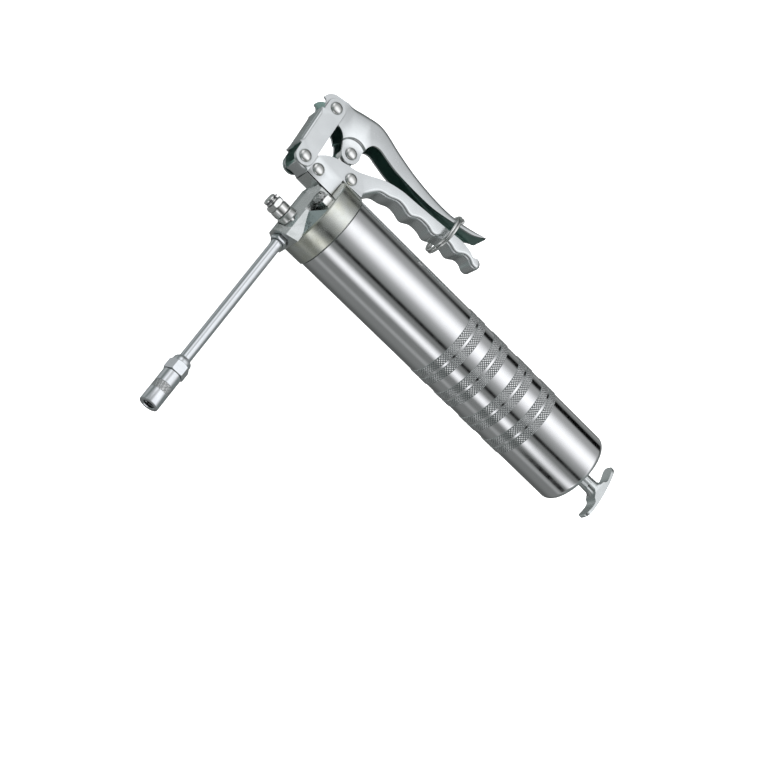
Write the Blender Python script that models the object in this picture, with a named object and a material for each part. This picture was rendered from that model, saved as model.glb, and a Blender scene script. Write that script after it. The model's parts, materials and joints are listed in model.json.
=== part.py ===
"""One-hand lever grease gun, as an assembly of separate pieces.

The gun lies flat: +X runs along the barrel from the head to the tail, +Y runs in the plane of the
handles towards the lever, and +Z is normal to that plane.  Every piece is drawn from the point where
the pump bore (along Y) crosses the barrel's axis (along X), and set_origins() then moves the whole
gun so that the origin is the middle of its box.
"""
from math import cos, pi, radians, sin, sqrt, tau

import bmesh
import bpy
from mathutils import Matrix, Vector

MM = 0.001
GAP = 0.3 * MM                      # clearance between pieces that touch or slide

# ---- driving dimensions ------------------------------------------------------------------------
# Barrel and head cap
BARREL_RADIUS = 28.2 * MM
BARREL_WALL = 1.2 * MM
BARREL_START = 22.9 * MM            # x of the joint between the cap's skirt and the barrel
BARREL_END = 262.6 * MM
BARREL_NECK_RADIUS = 26.4 * MM      # rolled-in neck that screws into the cap
BARREL_NECK_START = 13.4 * MM
TAIL_CORNER = 4.5 * MM
KNURL_HEIGHT = 0.4 * MM
KNURL_CENTRES = [134.0 * MM, 156.5 * MM, 181.5 * MM, 204.5 * MM]
KNURL_LENGTH = 14.0 * MM
CAP_RADIUS = 29.0 * MM
CAP_FACE = 6.8 * MM                 # x of the cap's front face
CAP_CAVITY = 12.2 * MM              # x where the cavity behind the face starts
CAP_BORE = 26.7 * MM

# Pump block, cast in one piece with the cap
BLOCK_FRONT = -8.0 * MM
BLOCK_HALF = 8.6 * MM               # half thickness in z at the front
BLOCK_FOOT_HALF = 13.0 * MM         # half thickness in z at the cap
BLOCK_BOTTOM = -31.0 * MM
BLOCK_TOP = 14.0 * MM
LUG_HALF = 6.1 * MM
PLUNGER_RADIUS = 3.3 * MM
PLUNGER_TIP = -6.0 * MM
SPRING_BORE = 5.1 * MM
SPRING_SEAT = 15.0 * MM
LUG_TOP = 38.5 * MM
DUCT_RADIUS = 1.4 * MM

# Handles: five rivet centres in the plane of the handles
PIVOT_LINK_GRIP = (-23.2 * MM, 21.8 * MM)
RIVET_GRIP_FRONT = (-10.6 * MM, 22.5 * MM)
RIVET_GRIP_BACK = (10.4 * MM, 35.0 * MM)
PIVOT_LINK_LEVER = (-27.0 * MM, 65.9 * MM)
PIVOT_PLUNGER = (0.0, 50.6 * MM)
SHEET = 1.6 * MM
HANDLE_HALF = 8.0 * MM              # outer half width of grip and lever
LINK_HALF = 9.9 * MM
EYE_SETBACK = 1.4 * MM              # how far the lever's eyes are pressed inwards
EYE_RADIUS = 11.0 * MM
EYE_LOBE = 7.2 * MM
SHANK_RADIUS = 2.7 * MM
RIVET_HEAD_RADIUS = 4.4 * MM
RIVET_HEAD_HEIGHT = 1.9 * MM
TANG_HALF = 4.7 * MM
TANG_SLOT = 1.2 * MM                # extra half length of the slot that frees the linkage

# Lock ring
RING_X = 86.5 * MM
RING_Y = 63.2 * MM
RING_RADIUS = 16.0 * MM
RING_WIRE = 0.95 * MM
RING_PITCH = 2.1 * MM

# Outlet pipe and coupler, along -Y
PIPE_RADIUS = 3.9 * MM
PIPE_BORE = 1.6 * MM
PIPE_START = -28.4 * MM
PIPE_END = -144.0 * MM
COUPLER_TOP = -138.8 * MM
COUPLER_HEX_END = -151.0 * MM
COUPLER_END = -176.0 * MM
COUPLER_RADIUS = 6.4 * MM
COUPLER_HEX_FLATS = 12.6 * MM
COUPLER_MOUTH = 3.7 * MM

# Bulk filler, pointing to -X
FILLER_Y = -18.2 * MM
FILLER_Z = 5.0 * MM
FILLER_SEAT = -4.4 * MM
FILLER_HEX_FLATS = 11.8 * MM

# Air bleed valve, pointing to -X
BLEED_Y = 3.2 * MM
BLEED_Z = 14.8 * MM
BLEED_SEAT = 7.2 * MM

# Follower and its rod
FOLLOWER_X = 34.0 * MM
ROD_RADIUS = 3.6 * MM
SPRING_WIRE = 1.1 * MM
FOLLOWER_SPRING_RADIUS = 20.5 * MM
WING_HALF_SPAN = 23.0 * MM
WING_HALF_WIDTH = 4.4 * MM

SEGMENTS = 40                       # round pieces as large as the barrel
SMALL_SEGMENTS = 24                 # fittings, rivets and bores

# finish name: base colour, metallic, roughness
FINISHES = {
    "nickel": ((0.80, 0.80, 0.81), 1.0, 0.16),
    "zinc_cast": ((0.62, 0.64, 0.58), 1.0, 0.34),
    "zinc_sheet": ((0.66, 0.68, 0.69), 1.0, 0.38),
    "zinc_pipe": ((0.68, 0.71, 0.74), 1.0, 0.27),
    "bright_steel": ((0.74, 0.74, 0.75), 1.0, 0.22),
    "spring_steel": ((0.46, 0.46, 0.48), 1.0, 0.35),
    "rubber": ((0.02, 0.02, 0.02), 0.0, 0.70),
}


# ---- outlines ----------------------------------------------------------------------------------
def arc(centre, radius, start, stop, steps):
    """Points along an arc in a plane, angles in degrees, both ends included."""
    span = stop - start
    angles = [radians(start + span * i / steps) for i in range(steps + 1)]
    return [(centre[0] + radius * cos(a), centre[1] + radius * sin(a)) for a in angles]


def circle(centre, radius, steps=SMALL_SEGMENTS):
    return arc(centre, radius, 0, 360, steps)[:-1]


def hexagon(centre, flats, turn=0.0):
    return arc(centre, flats / sqrt(3), turn, turn + 360, 6)[:-1]


def flowing(points, steps):
    """A Catmull-Rom curve through the points, given in millimetres, with steps to a span."""
    padded = [points[0], *points, points[-1]]
    curve = []
    for p0, p1, p2, p3 in zip(padded, padded[1:], padded[2:], padded[3:]):
        for i in range(steps):
            t = i / steps
            curve.append(tuple(
                0.5 * MM * (2 * b + (c - a) * t + (2 * a - 5 * b + 4 * c - d) * t * t
                            + (3 * b - a - 3 * c + d) * t ** 3)
                for a, b, c, d in zip(p0, p1, p2, p3)))
    curve.append((points[-1][0] * MM, points[-1][1] * MM))
    return curve


def shifted(path, distance):
    """An open path moved to its left by a distance."""
    moved = []
    for i, point in enumerate(path):
        before = Vector(path[max(i - 1, 0)])
        after = Vector(path[min(i + 1, len(path) - 1)])
        along = (after - before).normalized()
        moved.append((point[0] - along.y * distance, point[1] + along.x * distance))
    return moved


# ---- solids ------------------------------------------------------------------------------------
def solid(name, vertices, faces, finish="zinc_sheet", smooth_angle=None):
    """One closed object from vertices and faces, with its normals turned outwards."""
    mesh = bpy.data.meshes.new(name)
    mesh.from_pydata(vertices, [], faces)
    body = bmesh.new()
    body.from_mesh(mesh)
    bmesh.ops.remove_doubles(body, verts=body.verts, dist=1e-7)
    bmesh.ops.recalc_face_normals(body, faces=body.faces)
    body.to_mesh(mesh)
    body.free()
    mesh.materials.append(bpy.data.materials[finish])
    if smooth_angle is not None:
        mesh.shade_smooth()
        mesh.set_sharp_from_angle(angle=radians(smooth_angle))
    made = bpy.data.objects.new(name, mesh)
    bpy.context.collection.objects.link(made)
    return made


def oriented(along, first, second, axis):
    """A point from its place along an axis and its two places across it."""
    return {"X": (along, first, second), "Y": (first, along, second), "Z": (first, second, along)}[axis]


def prism(name, outline, low, high, axis="Z", finish="zinc_sheet", smooth_angle=None):
    """A flat outline carried along an axis; on X it is (y, z), on Y (x, z) and on Z (x, y)."""
    count = len(outline)
    vertices = [oriented(level, u, v, axis) for level in (low, high) for u, v in outline]
    sides = [(i, (i + 1) % count, count + (i + 1) % count, count + i) for i in range(count)]
    ends = [tuple(range(count)), tuple(range(count, 2 * count))]
    return solid(name, vertices, sides + ends, finish, smooth_angle)


def lathe(name, profile, axis="X", centre=(0.0, 0.0), segments=SMALL_SEGMENTS,
          finish="bright_steel", start=0.0):
    """A profile of (along, radius) pairs turned about an axis; zero radii close on the axis."""
    vertices = []
    rings = []
    for along, radius in profile:
        if radius < 1e-9:
            rings.append([len(vertices)] * segments)
            vertices.append(oriented(along, centre[0], centre[1], axis))
            continue
        rings.append(list(range(len(vertices), len(vertices) + segments)))
        for k in range(segments):
            angle = start + tau * k / segments
            vertices.append(oriented(along, centre[0] + radius * cos(angle),
                                     centre[1] + radius * sin(angle), axis))
    faces = []
    closed = profile[0][1] > 1e-9
    pairs = list(zip(rings, rings[1:] + rings[:1])) if closed else list(zip(rings, rings[1:]))
    for ring, following in pairs:
        for k in range(segments):
            corners = [ring[k], ring[(k + 1) % segments],
                       following[(k + 1) % segments], following[k]]
            corners = list(dict.fromkeys(corners))
            if len(corners) > 2:
                faces.append(tuple(corners))
    return solid(name, vertices, faces, finish, 35)


def rod(name, radius, low, high, axis="X", centre=(0.0, 0.0), **options):
    return lathe(name, [(low, 0.0), (low, radius), (high, radius), (high, 0.0)], axis, centre, **options)


def box(name, low, high):
    outline = [(low[0], low[1]), (high[0], low[1]), (high[0], high[1]), (low[0], high[1])]
    return prism(name, outline, low[2], high[2])


def tube_along(name, points, radius, sides=6, finish="spring_steel"):
    """A round wire that follows a line of points, closed at both ends."""
    vertices = []
    faces = []
    for i, point in enumerate(points):
        here = Vector(point)
        along = (Vector(points[min(i + 1, len(points) - 1)]) - Vector(points[max(i - 1, 0)])).normalized()
        across = (here - wire_centre(points, i)).cross(along).normalized()
        other = along.cross(across)
        for k in range(sides):
            angle = tau * k / sides
            vertices.append(here + radius * (cos(angle) * across + sin(angle) * other))
    for i in range(len(points) - 1):
        for k in range(sides):
            a = i * sides + k
            b = i * sides + (k + 1) % sides
            faces.append((a, b, b + sides, a + sides))
    faces.append(tuple(range(sides)))
    faces.append(tuple(range(len(vertices) - sides, len(vertices))))
    return solid(name, vertices, faces, finish, 50)


def wire_centre(points, index):
    """The middle of the coil beside one of its points."""
    middle = Vector((0.0, 0.0, 0.0))
    for point in points:
        middle += Vector(point)
    return middle / len(points)


def coil(name, axis, centre, radius, wire, low, high, turns, steps=16, sides=6):
    """A compression spring along an axis, its two end turns closed up."""
    count = turns * steps
    span = high - low - 2 * wire
    closed = 2.2 * wire
    points = []
    for i in range(count + 1):
        turned = i / steps
        inner = min(max(turned - 1, 0), turns - 2) / (turns - 2)
        ends = min(turned, 1) + max(turned - (turns - 1), 0)
        along = low + wire + closed * ends + (span - 2 * closed) * inner
        angle = tau * turned
        points.append(oriented(along, centre[0] + radius * cos(angle),
                               centre[1] + radius * sin(angle), axis))
    return tube_along(name, points, wire, sides)


def combine(target, tools, operation):
    """Joins tools to a target, or cuts them from it, and removes the tools."""
    for tool in tools:
        step = target.modifiers.new(tool.name, "BOOLEAN")
        step.object = tool
        step.operation = operation
        step.solver = "EXACT"
    scene_graph = bpy.context.evaluated_depsgraph_get()
    finished = bpy.data.meshes.new_from_object(target.evaluated_get(scene_graph))
    target.modifiers.clear()
    target.data = finished
    for tool in tools:
        bpy.data.objects.remove(tool, do_unlink=True)
    return target


def join(target, *tools):
    return combine(target, tools, "UNION")


def cut(target, *tools):
    return combine(target, tools, "DIFFERENCE")


def keep_inside(target, *tools):
    return combine(target, tools, "INTERSECT")


def drill(target, radius, low, high, axis, *centres):
    """Round holes through a target along one axis."""
    return cut(target, *[rod(f"drill_{i}", radius, low, high, axis, centre)
                         for i, centre in enumerate(centres)])


# ---- barrel and follower -----------------------------------------------------------------------
def knurl_profile():
    """Radius steps of the raised grip bands."""
    raised = BARREL_RADIUS + KNURL_HEIGHT
    ramp = KNURL_HEIGHT
    points = []
    for middle in KNURL_CENTRES:
        low = middle - KNURL_LENGTH / 2
        high = middle + KNURL_LENGTH / 2
        points += [(low, BARREL_RADIUS), (low + ramp, raised), (high - ramp, raised),
                   (high, BARREL_RADIUS)]
    return points


def build_barrel():
    inner = BARREL_RADIUS - BARREL_WALL
    neck_inner = BARREL_NECK_RADIUS - BARREL_WALL
    shoulder = BARREL_START + GAP
    corner = (BARREL_END - TAIL_CORNER, BARREL_RADIUS - TAIL_CORNER)
    inner_corner = TAIL_CORNER - BARREL_WALL
    hole = 6.0 * MM
    profile = [(BARREL_NECK_START, neck_inner), (BARREL_NECK_START, BARREL_NECK_RADIUS),
               (shoulder, BARREL_NECK_RADIUS), (shoulder, BARREL_RADIUS)]
    profile += knurl_profile()
    profile += arc(corner, TAIL_CORNER, 90, 0, 4)
    profile += [(BARREL_END, hole), (BARREL_END - BARREL_WALL, hole)]
    profile += arc(corner, inner_corner, 0, 90, 3)
    profile += [(shoulder + BARREL_WALL + 0.6 * MM, inner), (shoulder + BARREL_WALL, neck_inner)]
    return lathe("barrel_tube", profile, segments=SEGMENTS, finish="nickel")


def build_tail_bush():
    """Guide bush pressed into the tail's hole, with a flange inside the barrel."""
    inside = BARREL_END - BARREL_WALL
    bore = ROD_RADIUS + GAP
    profile = [(inside - 3.0 * MM, bore), (inside - 3.0 * MM, 9.0 * MM), (inside - GAP, 9.0 * MM),
               (inside - GAP, 5.7 * MM), (BARREL_END + 1.0 * MM, 5.7 * MM),
               (BARREL_END + 1.0 * MM, bore)]
    return lathe("rod_guide_bush", profile, finish="zinc_cast")


def build_gasket():
    outer = CAP_BORE - GAP
    return lathe("barrel_gasket", [(CAP_CAVITY + GAP, 23.4 * MM), (CAP_CAVITY + GAP, outer),
                                   (BARREL_NECK_START - GAP, outer),
                                   (BARREL_NECK_START - GAP, 23.4 * MM)],
                 segments=SEGMENTS, finish="rubber")


def build_follower():
    """Rubber cup between two steel plates, held on the rod's end by a nut."""
    lip = BARREL_RADIUS - BARREL_WALL - GAP
    hole = ROD_RADIUS + GAP
    plate = 19.0 * MM
    thick = 1.6 * MM
    front = FOLLOWER_X + thick + GAP
    web = 2.2 * MM
    skirt = 11.0 * MM
    lathe("follower_cup", [(front, hole), (front, lip - 2.5 * MM), (front + 1.2 * MM, lip - 0.8 * MM),
                           (front + skirt, lip), (front + skirt, lip - 1.6 * MM),
                           (front + web, lip - 2.8 * MM), (front + web, hole)],
          segments=SEGMENTS, finish="rubber")
    for name, start in (("follower_front_plate", FOLLOWER_X),
                        ("follower_back_plate", front + web + GAP)):
        lathe(name, [(start, hole), (start, plate), (start + thick, plate), (start + thick, hole)],
              segments=32, finish="bright_steel")
    nut = prism("follower_nut", hexagon((0, 0), 10.0 * MM), FOLLOWER_X - 4.6 * MM,
                FOLLOWER_X - GAP, "X", "bright_steel")
    drill(nut, ROD_RADIUS + GAP, FOLLOWER_X - 6 * MM, FOLLOWER_X + 1 * MM, "X", (0, 0))
    tail = BARREL_END + 11.0 * MM
    rod("follower_rod", ROD_RADIUS, FOLLOWER_X - 6.0 * MM, tail, finish="bright_steel")
    spring_end = BARREL_END - BARREL_WALL - GAP
    coil("follower_spring", "X", (0, 0), FOLLOWER_SPRING_RADIUS, SPRING_WIRE,
         front + web + 2 * GAP + thick, spring_end, 11, 12, 4)


def wing_outline():
    """Crescent wing of the rod's handle, as (x, y), with its tips bent towards the barrel."""
    half = WING_HALF_SPAN / MM
    outer = [(287.9, -half + 0.5), (289.0, -17.0), (289.9, -9.0), (290.2, 0.0), (289.9, 9.0),
             (289.0, 17.0), (287.9, half - 0.5)]
    inner = [(285.5, half - 0.8), (286.2, 18.0), (286.9, 12.0), (286.3, 8.6), (283.8, 6.2), (280.0, 5.1)]
    mirrored = [(x, -y) for x, y in reversed(inner)]
    tip = [(286.7, half)]
    low_tip = [(286.7, -half)]
    return flowing(outer, 3) + flowing(tip + inner, 2) + flowing(mirrored + low_tip, 2)


def build_t_handle():
    handle = prism("t_handle", wing_outline(), -WING_HALF_WIDTH, WING_HALF_WIDTH, "Z", "zinc_cast")
    join(handle, rod("stem", 5.1 * MM, BARREL_END + 1.6 * MM, 284.0 * MM))
    drill(handle, ROD_RADIUS + GAP, BARREL_END, BARREL_END + 11.6 * MM, "X", (0, 0))
    return handle


# ---- head --------------------------------------------------------------------------------------
def build_cap():
    chamfer = 0.8 * MM
    end = BARREL_START
    profile = [(CAP_FACE, 0.0), (CAP_FACE, CAP_RADIUS - chamfer), (CAP_FACE + chamfer, CAP_RADIUS),
               (end, CAP_RADIUS), (end, CAP_BORE), (CAP_CAVITY, CAP_BORE), (CAP_CAVITY, 0.0)]
    return lathe("head_casting", profile, segments=SEGMENTS, finish="zinc_cast")


def build_ramp():
    """Shallow cone on the outlet side of the cap, up to the pump block."""
    inside = CAP_FACE + 1.0 * MM
    cone = lathe("ramp", [(1.0 * MM, 0.0), (1.0 * MM, 12.6 * MM), (CAP_FACE, CAP_RADIUS - 0.4 * MM),
                          (inside, CAP_RADIUS - 0.6 * MM), (inside, 0.0)], segments=SEGMENTS)
    return keep_inside(cone, box("side", (-10 * MM, -40 * MM, -40 * MM), (20 * MM, -7.0 * MM, 40 * MM)))


def build_block():
    """Pump block: a section drawn in (x, z) along Y, trimmed to a side outline in (x, y)."""
    half = BLOCK_HALF / MM
    foot = BLOCK_FOOT_HALF / MM
    upper = [(9.0, foot), (6.8, foot), (-1.0, half + 0.6), (-5.6, half)]
    corner = [(-7.4, half - 1.0), (-8.0, half - 3.0)]
    side = upper + corner
    section = [(x * MM, z * MM) for x, z in side]
    section += [(x * MM, -z * MM) for x, z in reversed(side)]
    block = prism("block", section, BLOCK_BOTTOM, BLOCK_TOP, "Y")
    top = BLOCK_TOP / MM
    front = BLOCK_FRONT / MM
    outline = [(-8.5 * MM, -32 * MM), (10 * MM, -32 * MM), (10 * MM, BLOCK_TOP)]
    outline += flowing([(front + 5.0, top), (front + 1.6, top - 1.8), (front - 0.5, top - 6.5)], 4)
    return keep_inside(block, prism("side", outline, -20 * MM, 20 * MM))


def lug_outline():
    """The lug between the grip's cheeks, as (x, y)."""
    points = [(-15.0, 15.8), (-4.5, 15.8), (-4.5, 13.0), (9.0, 13.0), (9.0, 27.2), (15.6, 27.2),
              (15.6, 37.0), (13.4, 39.6), (9.4, 39.6), (7.6, 38.5), (-7.4, 38.5), (-15.0, 26.4)]
    return [(x * MM, y * MM) for x, y in points]


def build_head():
    """Cap, pump block and lug in one casting, with its bores, seats and passages."""
    head = build_cap()
    join(head, build_ramp(), build_block(), prism("lug", lug_outline(), -LUG_HALF, LUG_HALF))
    cut(head, box("bleed_pocket", (-1.6 * MM, -7.0 * MM, 8.8 * MM),
                  (BLEED_SEAT, BLOCK_TOP + 2 * MM, 31 * MM)))
    cavity = CAP_CAVITY + 1 * MM
    pump_radius = PLUNGER_RADIUS + GAP
    pump_end = PLUNGER_TIP - 2 * MM
    chamber = -21.2 * MM
    spigot = -27.0 * MM
    below = -33.0 * MM
    above = LUG_TOP + 5 * MM
    cut(head, lathe("pump_line", [(below, 0.0), (below, 5.4 * MM), (spigot, 5.4 * MM), (spigot, 3.0 * MM),
                                  (chamber, 3.0 * MM), (chamber, DUCT_RADIUS), (pump_end, DUCT_RADIUS),
                                  (pump_end, pump_radius), (SPRING_SEAT, pump_radius),
                                  (SPRING_SEAT, SPRING_BORE), (above, SPRING_BORE), (above, 0.0)], "Y"))
    cut(head, rod("suction_port", 1.8 * MM, 1.0 * MM, cavity, "X", (-2.0 * MM, 0.0)))
    filler_end = -2.1 * MM
    cut(head, lathe("filler_line", [(-12 * MM, 0.0), (-12 * MM, 7.0 * MM), (FILLER_SEAT, 7.0 * MM),
                                    (FILLER_SEAT, 3.3 * MM), (filler_end, 3.3 * MM),
                                    (filler_end, 1.1 * MM), (cavity, 1.1 * MM), (cavity, 0.0)],
                    "X", (FILLER_Y, FILLER_Z)))
    cut(head, rod("bleed_thread", 2.6 * MM, 4 * MM, cavity, "X", (BLEED_Y, BLEED_Z)))
    drill(head, SHANK_RADIUS + GAP, -10 * MM, 10 * MM, "Z", RIVET_GRIP_FRONT, RIVET_GRIP_BACK)
    return head


# ---- pump --------------------------------------------------------------------------------------
def build_plunger():
    """Plunger rod with a collar for its spring and a slotted tang for the lever's pin."""
    eye_x, eye_y = PIVOT_PLUNGER
    tang_radius = 6.2 * MM
    outline = [(-4.2 * MM, 40.8 * MM), (4.2 * MM, 40.8 * MM)]
    outline += arc((eye_x, eye_y), tang_radius, -40, 220, 12)
    tang = prism("plunger", outline, -TANG_HALF, TANG_HALF, "Z", "bright_steel")
    join(tang, lathe("stem", [(PLUNGER_TIP, 0.0), (PLUNGER_TIP, PLUNGER_RADIUS),
                              (32.0 * MM, PLUNGER_RADIUS), (32.0 * MM, 4.75 * MM),
                              (37.0 * MM, 4.75 * MM), (37.0 * MM, 4.1 * MM), (43.0 * MM, 4.1 * MM),
                              (43.0 * MM, 0.0)], "Y"))
    reach = SHANK_RADIUS + GAP + 0.1 * MM
    slot = [(eye_x + TANG_SLOT, eye_y), (eye_x - TANG_SLOT, eye_y)]
    slot_outline = arc(slot[0], reach, -90, 90, 10) + arc(slot[1], reach, 90, 270, 10)
    cut(tang, prism("slot", slot_outline, -8 * MM, 8 * MM))
    coil("plunger_spring", "Y", (0, 0), 4.3 * MM, 0.5 * MM, SPRING_SEAT + GAP, 32.0 * MM - GAP, 7, 12, 4)
    return tang


def ball(name, centre, radius, segments=16):
    profile = [(centre[1] - radius * cos(pi * i / 8), radius * sin(pi * i / 8)) for i in range(9)]
    profile[0] = (centre[1] - radius, 0.0)
    profile[-1] = (centre[1] + radius, 0.0)
    return lathe(name, profile, "Y", (centre[0], centre[2]), segments, "bright_steel")


def build_outlet():
    """Check valve, gland nut and the rigid pipe."""
    ball("outlet_check_ball", (0.0, -23.3 * MM, 0.0), 2.2 * MM)
    coil("outlet_check_spring", "Y", (0, 0), 1.8 * MM, 0.3 * MM, PIPE_START + GAP, -25.7 * MM, 3, 10, 4)
    nut = prism("outlet_nut", hexagon((0, 0), 12.4 * MM, 30), -35.2 * MM, BLOCK_BOTTOM - GAP, "Y",
                "zinc_pipe")
    join(nut, rod("spigot", 5.1 * MM, -32 * MM, -27.4 * MM, "Y"))
    drill(nut, PIPE_RADIUS + GAP, -40 * MM, -20 * MM, "Y", (0, 0))
    swell = PIPE_RADIUS + 0.8 * MM
    lathe("outlet_pipe", [(PIPE_START, PIPE_BORE), (PIPE_START, PIPE_RADIUS), (-35.5 * MM, PIPE_RADIUS),
                          (-35.5 * MM, swell), (-38.5 * MM, swell), (-42.0 * MM, PIPE_RADIUS),
                          (PIPE_END, PIPE_RADIUS), (PIPE_END, PIPE_BORE)], "Y", finish="zinc_pipe")


def build_coupler():
    """Nipple coupler: hexagon body screwed on the pipe, sleeve, three jaws, seal and spring."""
    top = COUPLER_TOP
    shoulder = COUPLER_HEX_END
    body = prism("coupler_body", hexagon((0, 0), COUPLER_HEX_FLATS, 30), shoulder, top, "Y", "zinc_pipe")
    floor = shoulder - 1 * MM
    keep_inside(body, lathe("chamfer", [(floor, 0.0), (floor, 7.8 * MM), (top - 2.6 * MM, 7.8 * MM),
                                        (top + 0.4 * MM, 4.9 * MM), (top + 0.4 * MM, 0.0)], "Y"))
    join(body, rod("skirt", 4.8 * MM, shoulder - 6 * MM, shoulder + 1 * MM, "Y"))
    drill(body, PIPE_RADIUS + GAP, PIPE_END - GAP, top + 2 * MM, "Y", (0, 0))
    drill(body, 2.4 * MM, shoulder - 8 * MM, top, "Y", (0, 0))
    sleeve_top = shoulder - GAP
    lip = 1.4 * MM
    lathe("coupler_sleeve",
          [(sleeve_top, 5.1 * MM), (sleeve_top, COUPLER_RADIUS), (COUPLER_END + lip, COUPLER_RADIUS),
           (COUPLER_END, COUPLER_RADIUS - lip), (COUPLER_END, COUPLER_MOUTH),
           (COUPLER_END + 2.2 * MM, COUPLER_MOUTH), (COUPLER_END + 4.4 * MM, 5.1 * MM)],
          "Y", finish="zinc_pipe")
    jaw_low = COUPLER_END + 2.6 * MM
    jaw_high = COUPLER_END + 9.0 * MM
    for number in range(3):
        jaw = lathe(f"coupler_jaw_{number + 1}",
                    [(jaw_low, 3.15 * MM), (jaw_low, 3.55 * MM), (jaw_low + 2.0 * MM, 4.7 * MM),
                     (jaw_high, 4.7 * MM), (jaw_high, 3.4 * MM), (jaw_low + 2.0 * MM, 3.4 * MM)],
                    "Y", finish="bright_steel")
        middle = tau * number / 3 + pi / 2
        reach = 12 * MM
        wedge = [(0.0, 0.0)]
        wedge += [(reach * cos(middle + turn), reach * sin(middle + turn))
                  for turn in (-radians(56), 0.0, radians(56))]
        keep_inside(jaw, prism("wedge", wedge, jaw_low - 1 * MM, jaw_high + 1 * MM, "Y"))
    seal_top = jaw_high + 2.6 * MM
    lathe("coupler_seal", [(jaw_high + GAP, 1.3 * MM), (jaw_high + GAP, 4.7 * MM), (seal_top, 4.7 * MM),
                           (seal_top, 1.3 * MM)], "Y", finish="rubber")
    coil("coupler_spring", "Y", (0, 0), 3.9 * MM, 0.45 * MM, seal_top + GAP, shoulder - 6 * MM - GAP,
         4, 10, 4)


# ---- fittings on the head ----------------------------------------------------------------------
def build_filler():
    """Bulk filler: hexagon body, flanged nipple, check ball and spring."""
    centre = (FILLER_Y, FILLER_Z)
    seat = FILLER_SEAT - GAP
    hex_low = -19.2 * MM
    body = prism("filler_body", hexagon(centre, FILLER_HEX_FLATS, 22), hex_low, seat - 4.4 * MM, "X",
                 "bright_steel")
    collar_low = seat - 5.0 * MM
    thread_end = -2.4 * MM
    join(body, lathe("collar", [(collar_low, 0.0), (collar_low, 6.1 * MM), (seat, 6.1 * MM),
                                (seat, 3.0 * MM), (thread_end, 3.0 * MM), (thread_end, 0.0)],
                     "X", centre))
    step = hex_low + 5 * MM
    cut(body, lathe("line", [(-30 * MM, 0.0), (-30 * MM, 3.3 * MM), (step, 3.3 * MM), (step, 2.0 * MM),
                             (5 * MM, 2.0 * MM), (5 * MM, 0.0)], "X", centre))
    lathe("filler_nipple",
          [(hex_low + 4.6 * MM, 1.3 * MM), (hex_low + 4.6 * MM, 3.0 * MM), (hex_low - GAP, 3.0 * MM),
           (hex_low - GAP, 4.4 * MM), (hex_low - 1.0 * MM, 4.4 * MM), (hex_low - 1.3 * MM, 3.3 * MM),
           (hex_low - 2.3 * MM, 3.3 * MM), (hex_low - 2.6 * MM, 4.5 * MM),
           (hex_low - 3.8 * MM, 4.5 * MM), (hex_low - 4.4 * MM, 3.6 * MM),
           (hex_low - 4.4 * MM, 1.3 * MM)], "X", centre)
    ball_x = hex_low + 6.1 * MM
    profile = [(ball_x - 1.7 * MM * cos(pi * i / 6), 1.7 * MM * sin(pi * i / 6)) for i in range(7)]
    profile[0] = (ball_x - 1.7 * MM, 0.0)
    profile[-1] = (ball_x + 1.7 * MM, 0.0)
    lathe("filler_check_ball", profile, "X", centre, 12)
    coil("filler_check_spring", "X", centre, 1.3 * MM, 0.28 * MM, ball_x + 2.0 * MM, -3.0 * MM, 4, 10, 4)


def build_bleed_valve():
    """Air bleed valve: hexagon body in the head's pocket, and its turned screw."""
    centre = (BLEED_Y, BLEED_Z)
    seat = BLEED_SEAT - GAP
    front = 2.2 * MM
    body = prism("bleed_valve_body", hexagon(centre, 10.4 * MM, 10), front, seat, "X", "bright_steel")
    join(body, rod("thread", 2.3 * MM, seat - 1 * MM, CAP_CAVITY - 1 * MM, "X", centre))
    drill(body, 1.6 * MM, -5 * MM, 20 * MM, "X", centre)
    screw = lathe("bleed_screw",
                  [(front + 3.0 * MM, 0.0), (front + 3.0 * MM, 1.3 * MM), (front - GAP, 1.3 * MM),
                   (front - GAP, 4.4 * MM), (-1.6 * MM, 4.4 * MM), (-2.4 * MM, 3.7 * MM),
                   (-2.4 * MM, 0.0)], "X", centre)
    slot_half = 0.5 * MM
    cut(screw, box("slot", (-4 * MM, BLEED_Y - slot_half, BLEED_Z - 6 * MM),
                   (-1.4 * MM, BLEED_Y + slot_half, BLEED_Z + 6 * MM)))


# ---- handles -----------------------------------------------------------------------------------
def grip_web_path():
    """Outer face of the grip's web, from the cap to the curled tip: four finger hollows."""
    return flowing([(23.6, 31.0), (25.4, 36.4), (30.6, 43.6), (38.0, 46.2), (44.5, 49.3), (50.0, 49.3),
                    (57.0, 47.8), (64.0, 51.6), (71.0, 51.9), (77.5, 50.4), (85.0, 54.2),
                    (91.5, 54.6), (98.0, 53.2), (104.5, 57.2), (109.0, 57.4), (113.8, 55.7),
                    (117.6, 57.2), (119.0, 60.6), (118.4, 63.4)], 3)


def grip_top_path():
    """Upper edge of the grip's cheeks, from the tip back to the nose."""
    return flowing([(116.9, 63.0), (115.6, 60.8), (112.0, 60.6), (106.6, 63.0), (97.8, 64.0),
                    (84.0, 62.4), (72.0, 61.0), (61.0, 59.8), (52.4, 58.9), (43.5, 58.0),
                    (34.5, 55.8), (27.3, 53.0), (19.3, 48.2), (10.8, 43.6), (2.2, 41.2),
                    (-8.3, 37.6), (-14.0, 33.2), (-18.6, 28.4)], 2)


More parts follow.
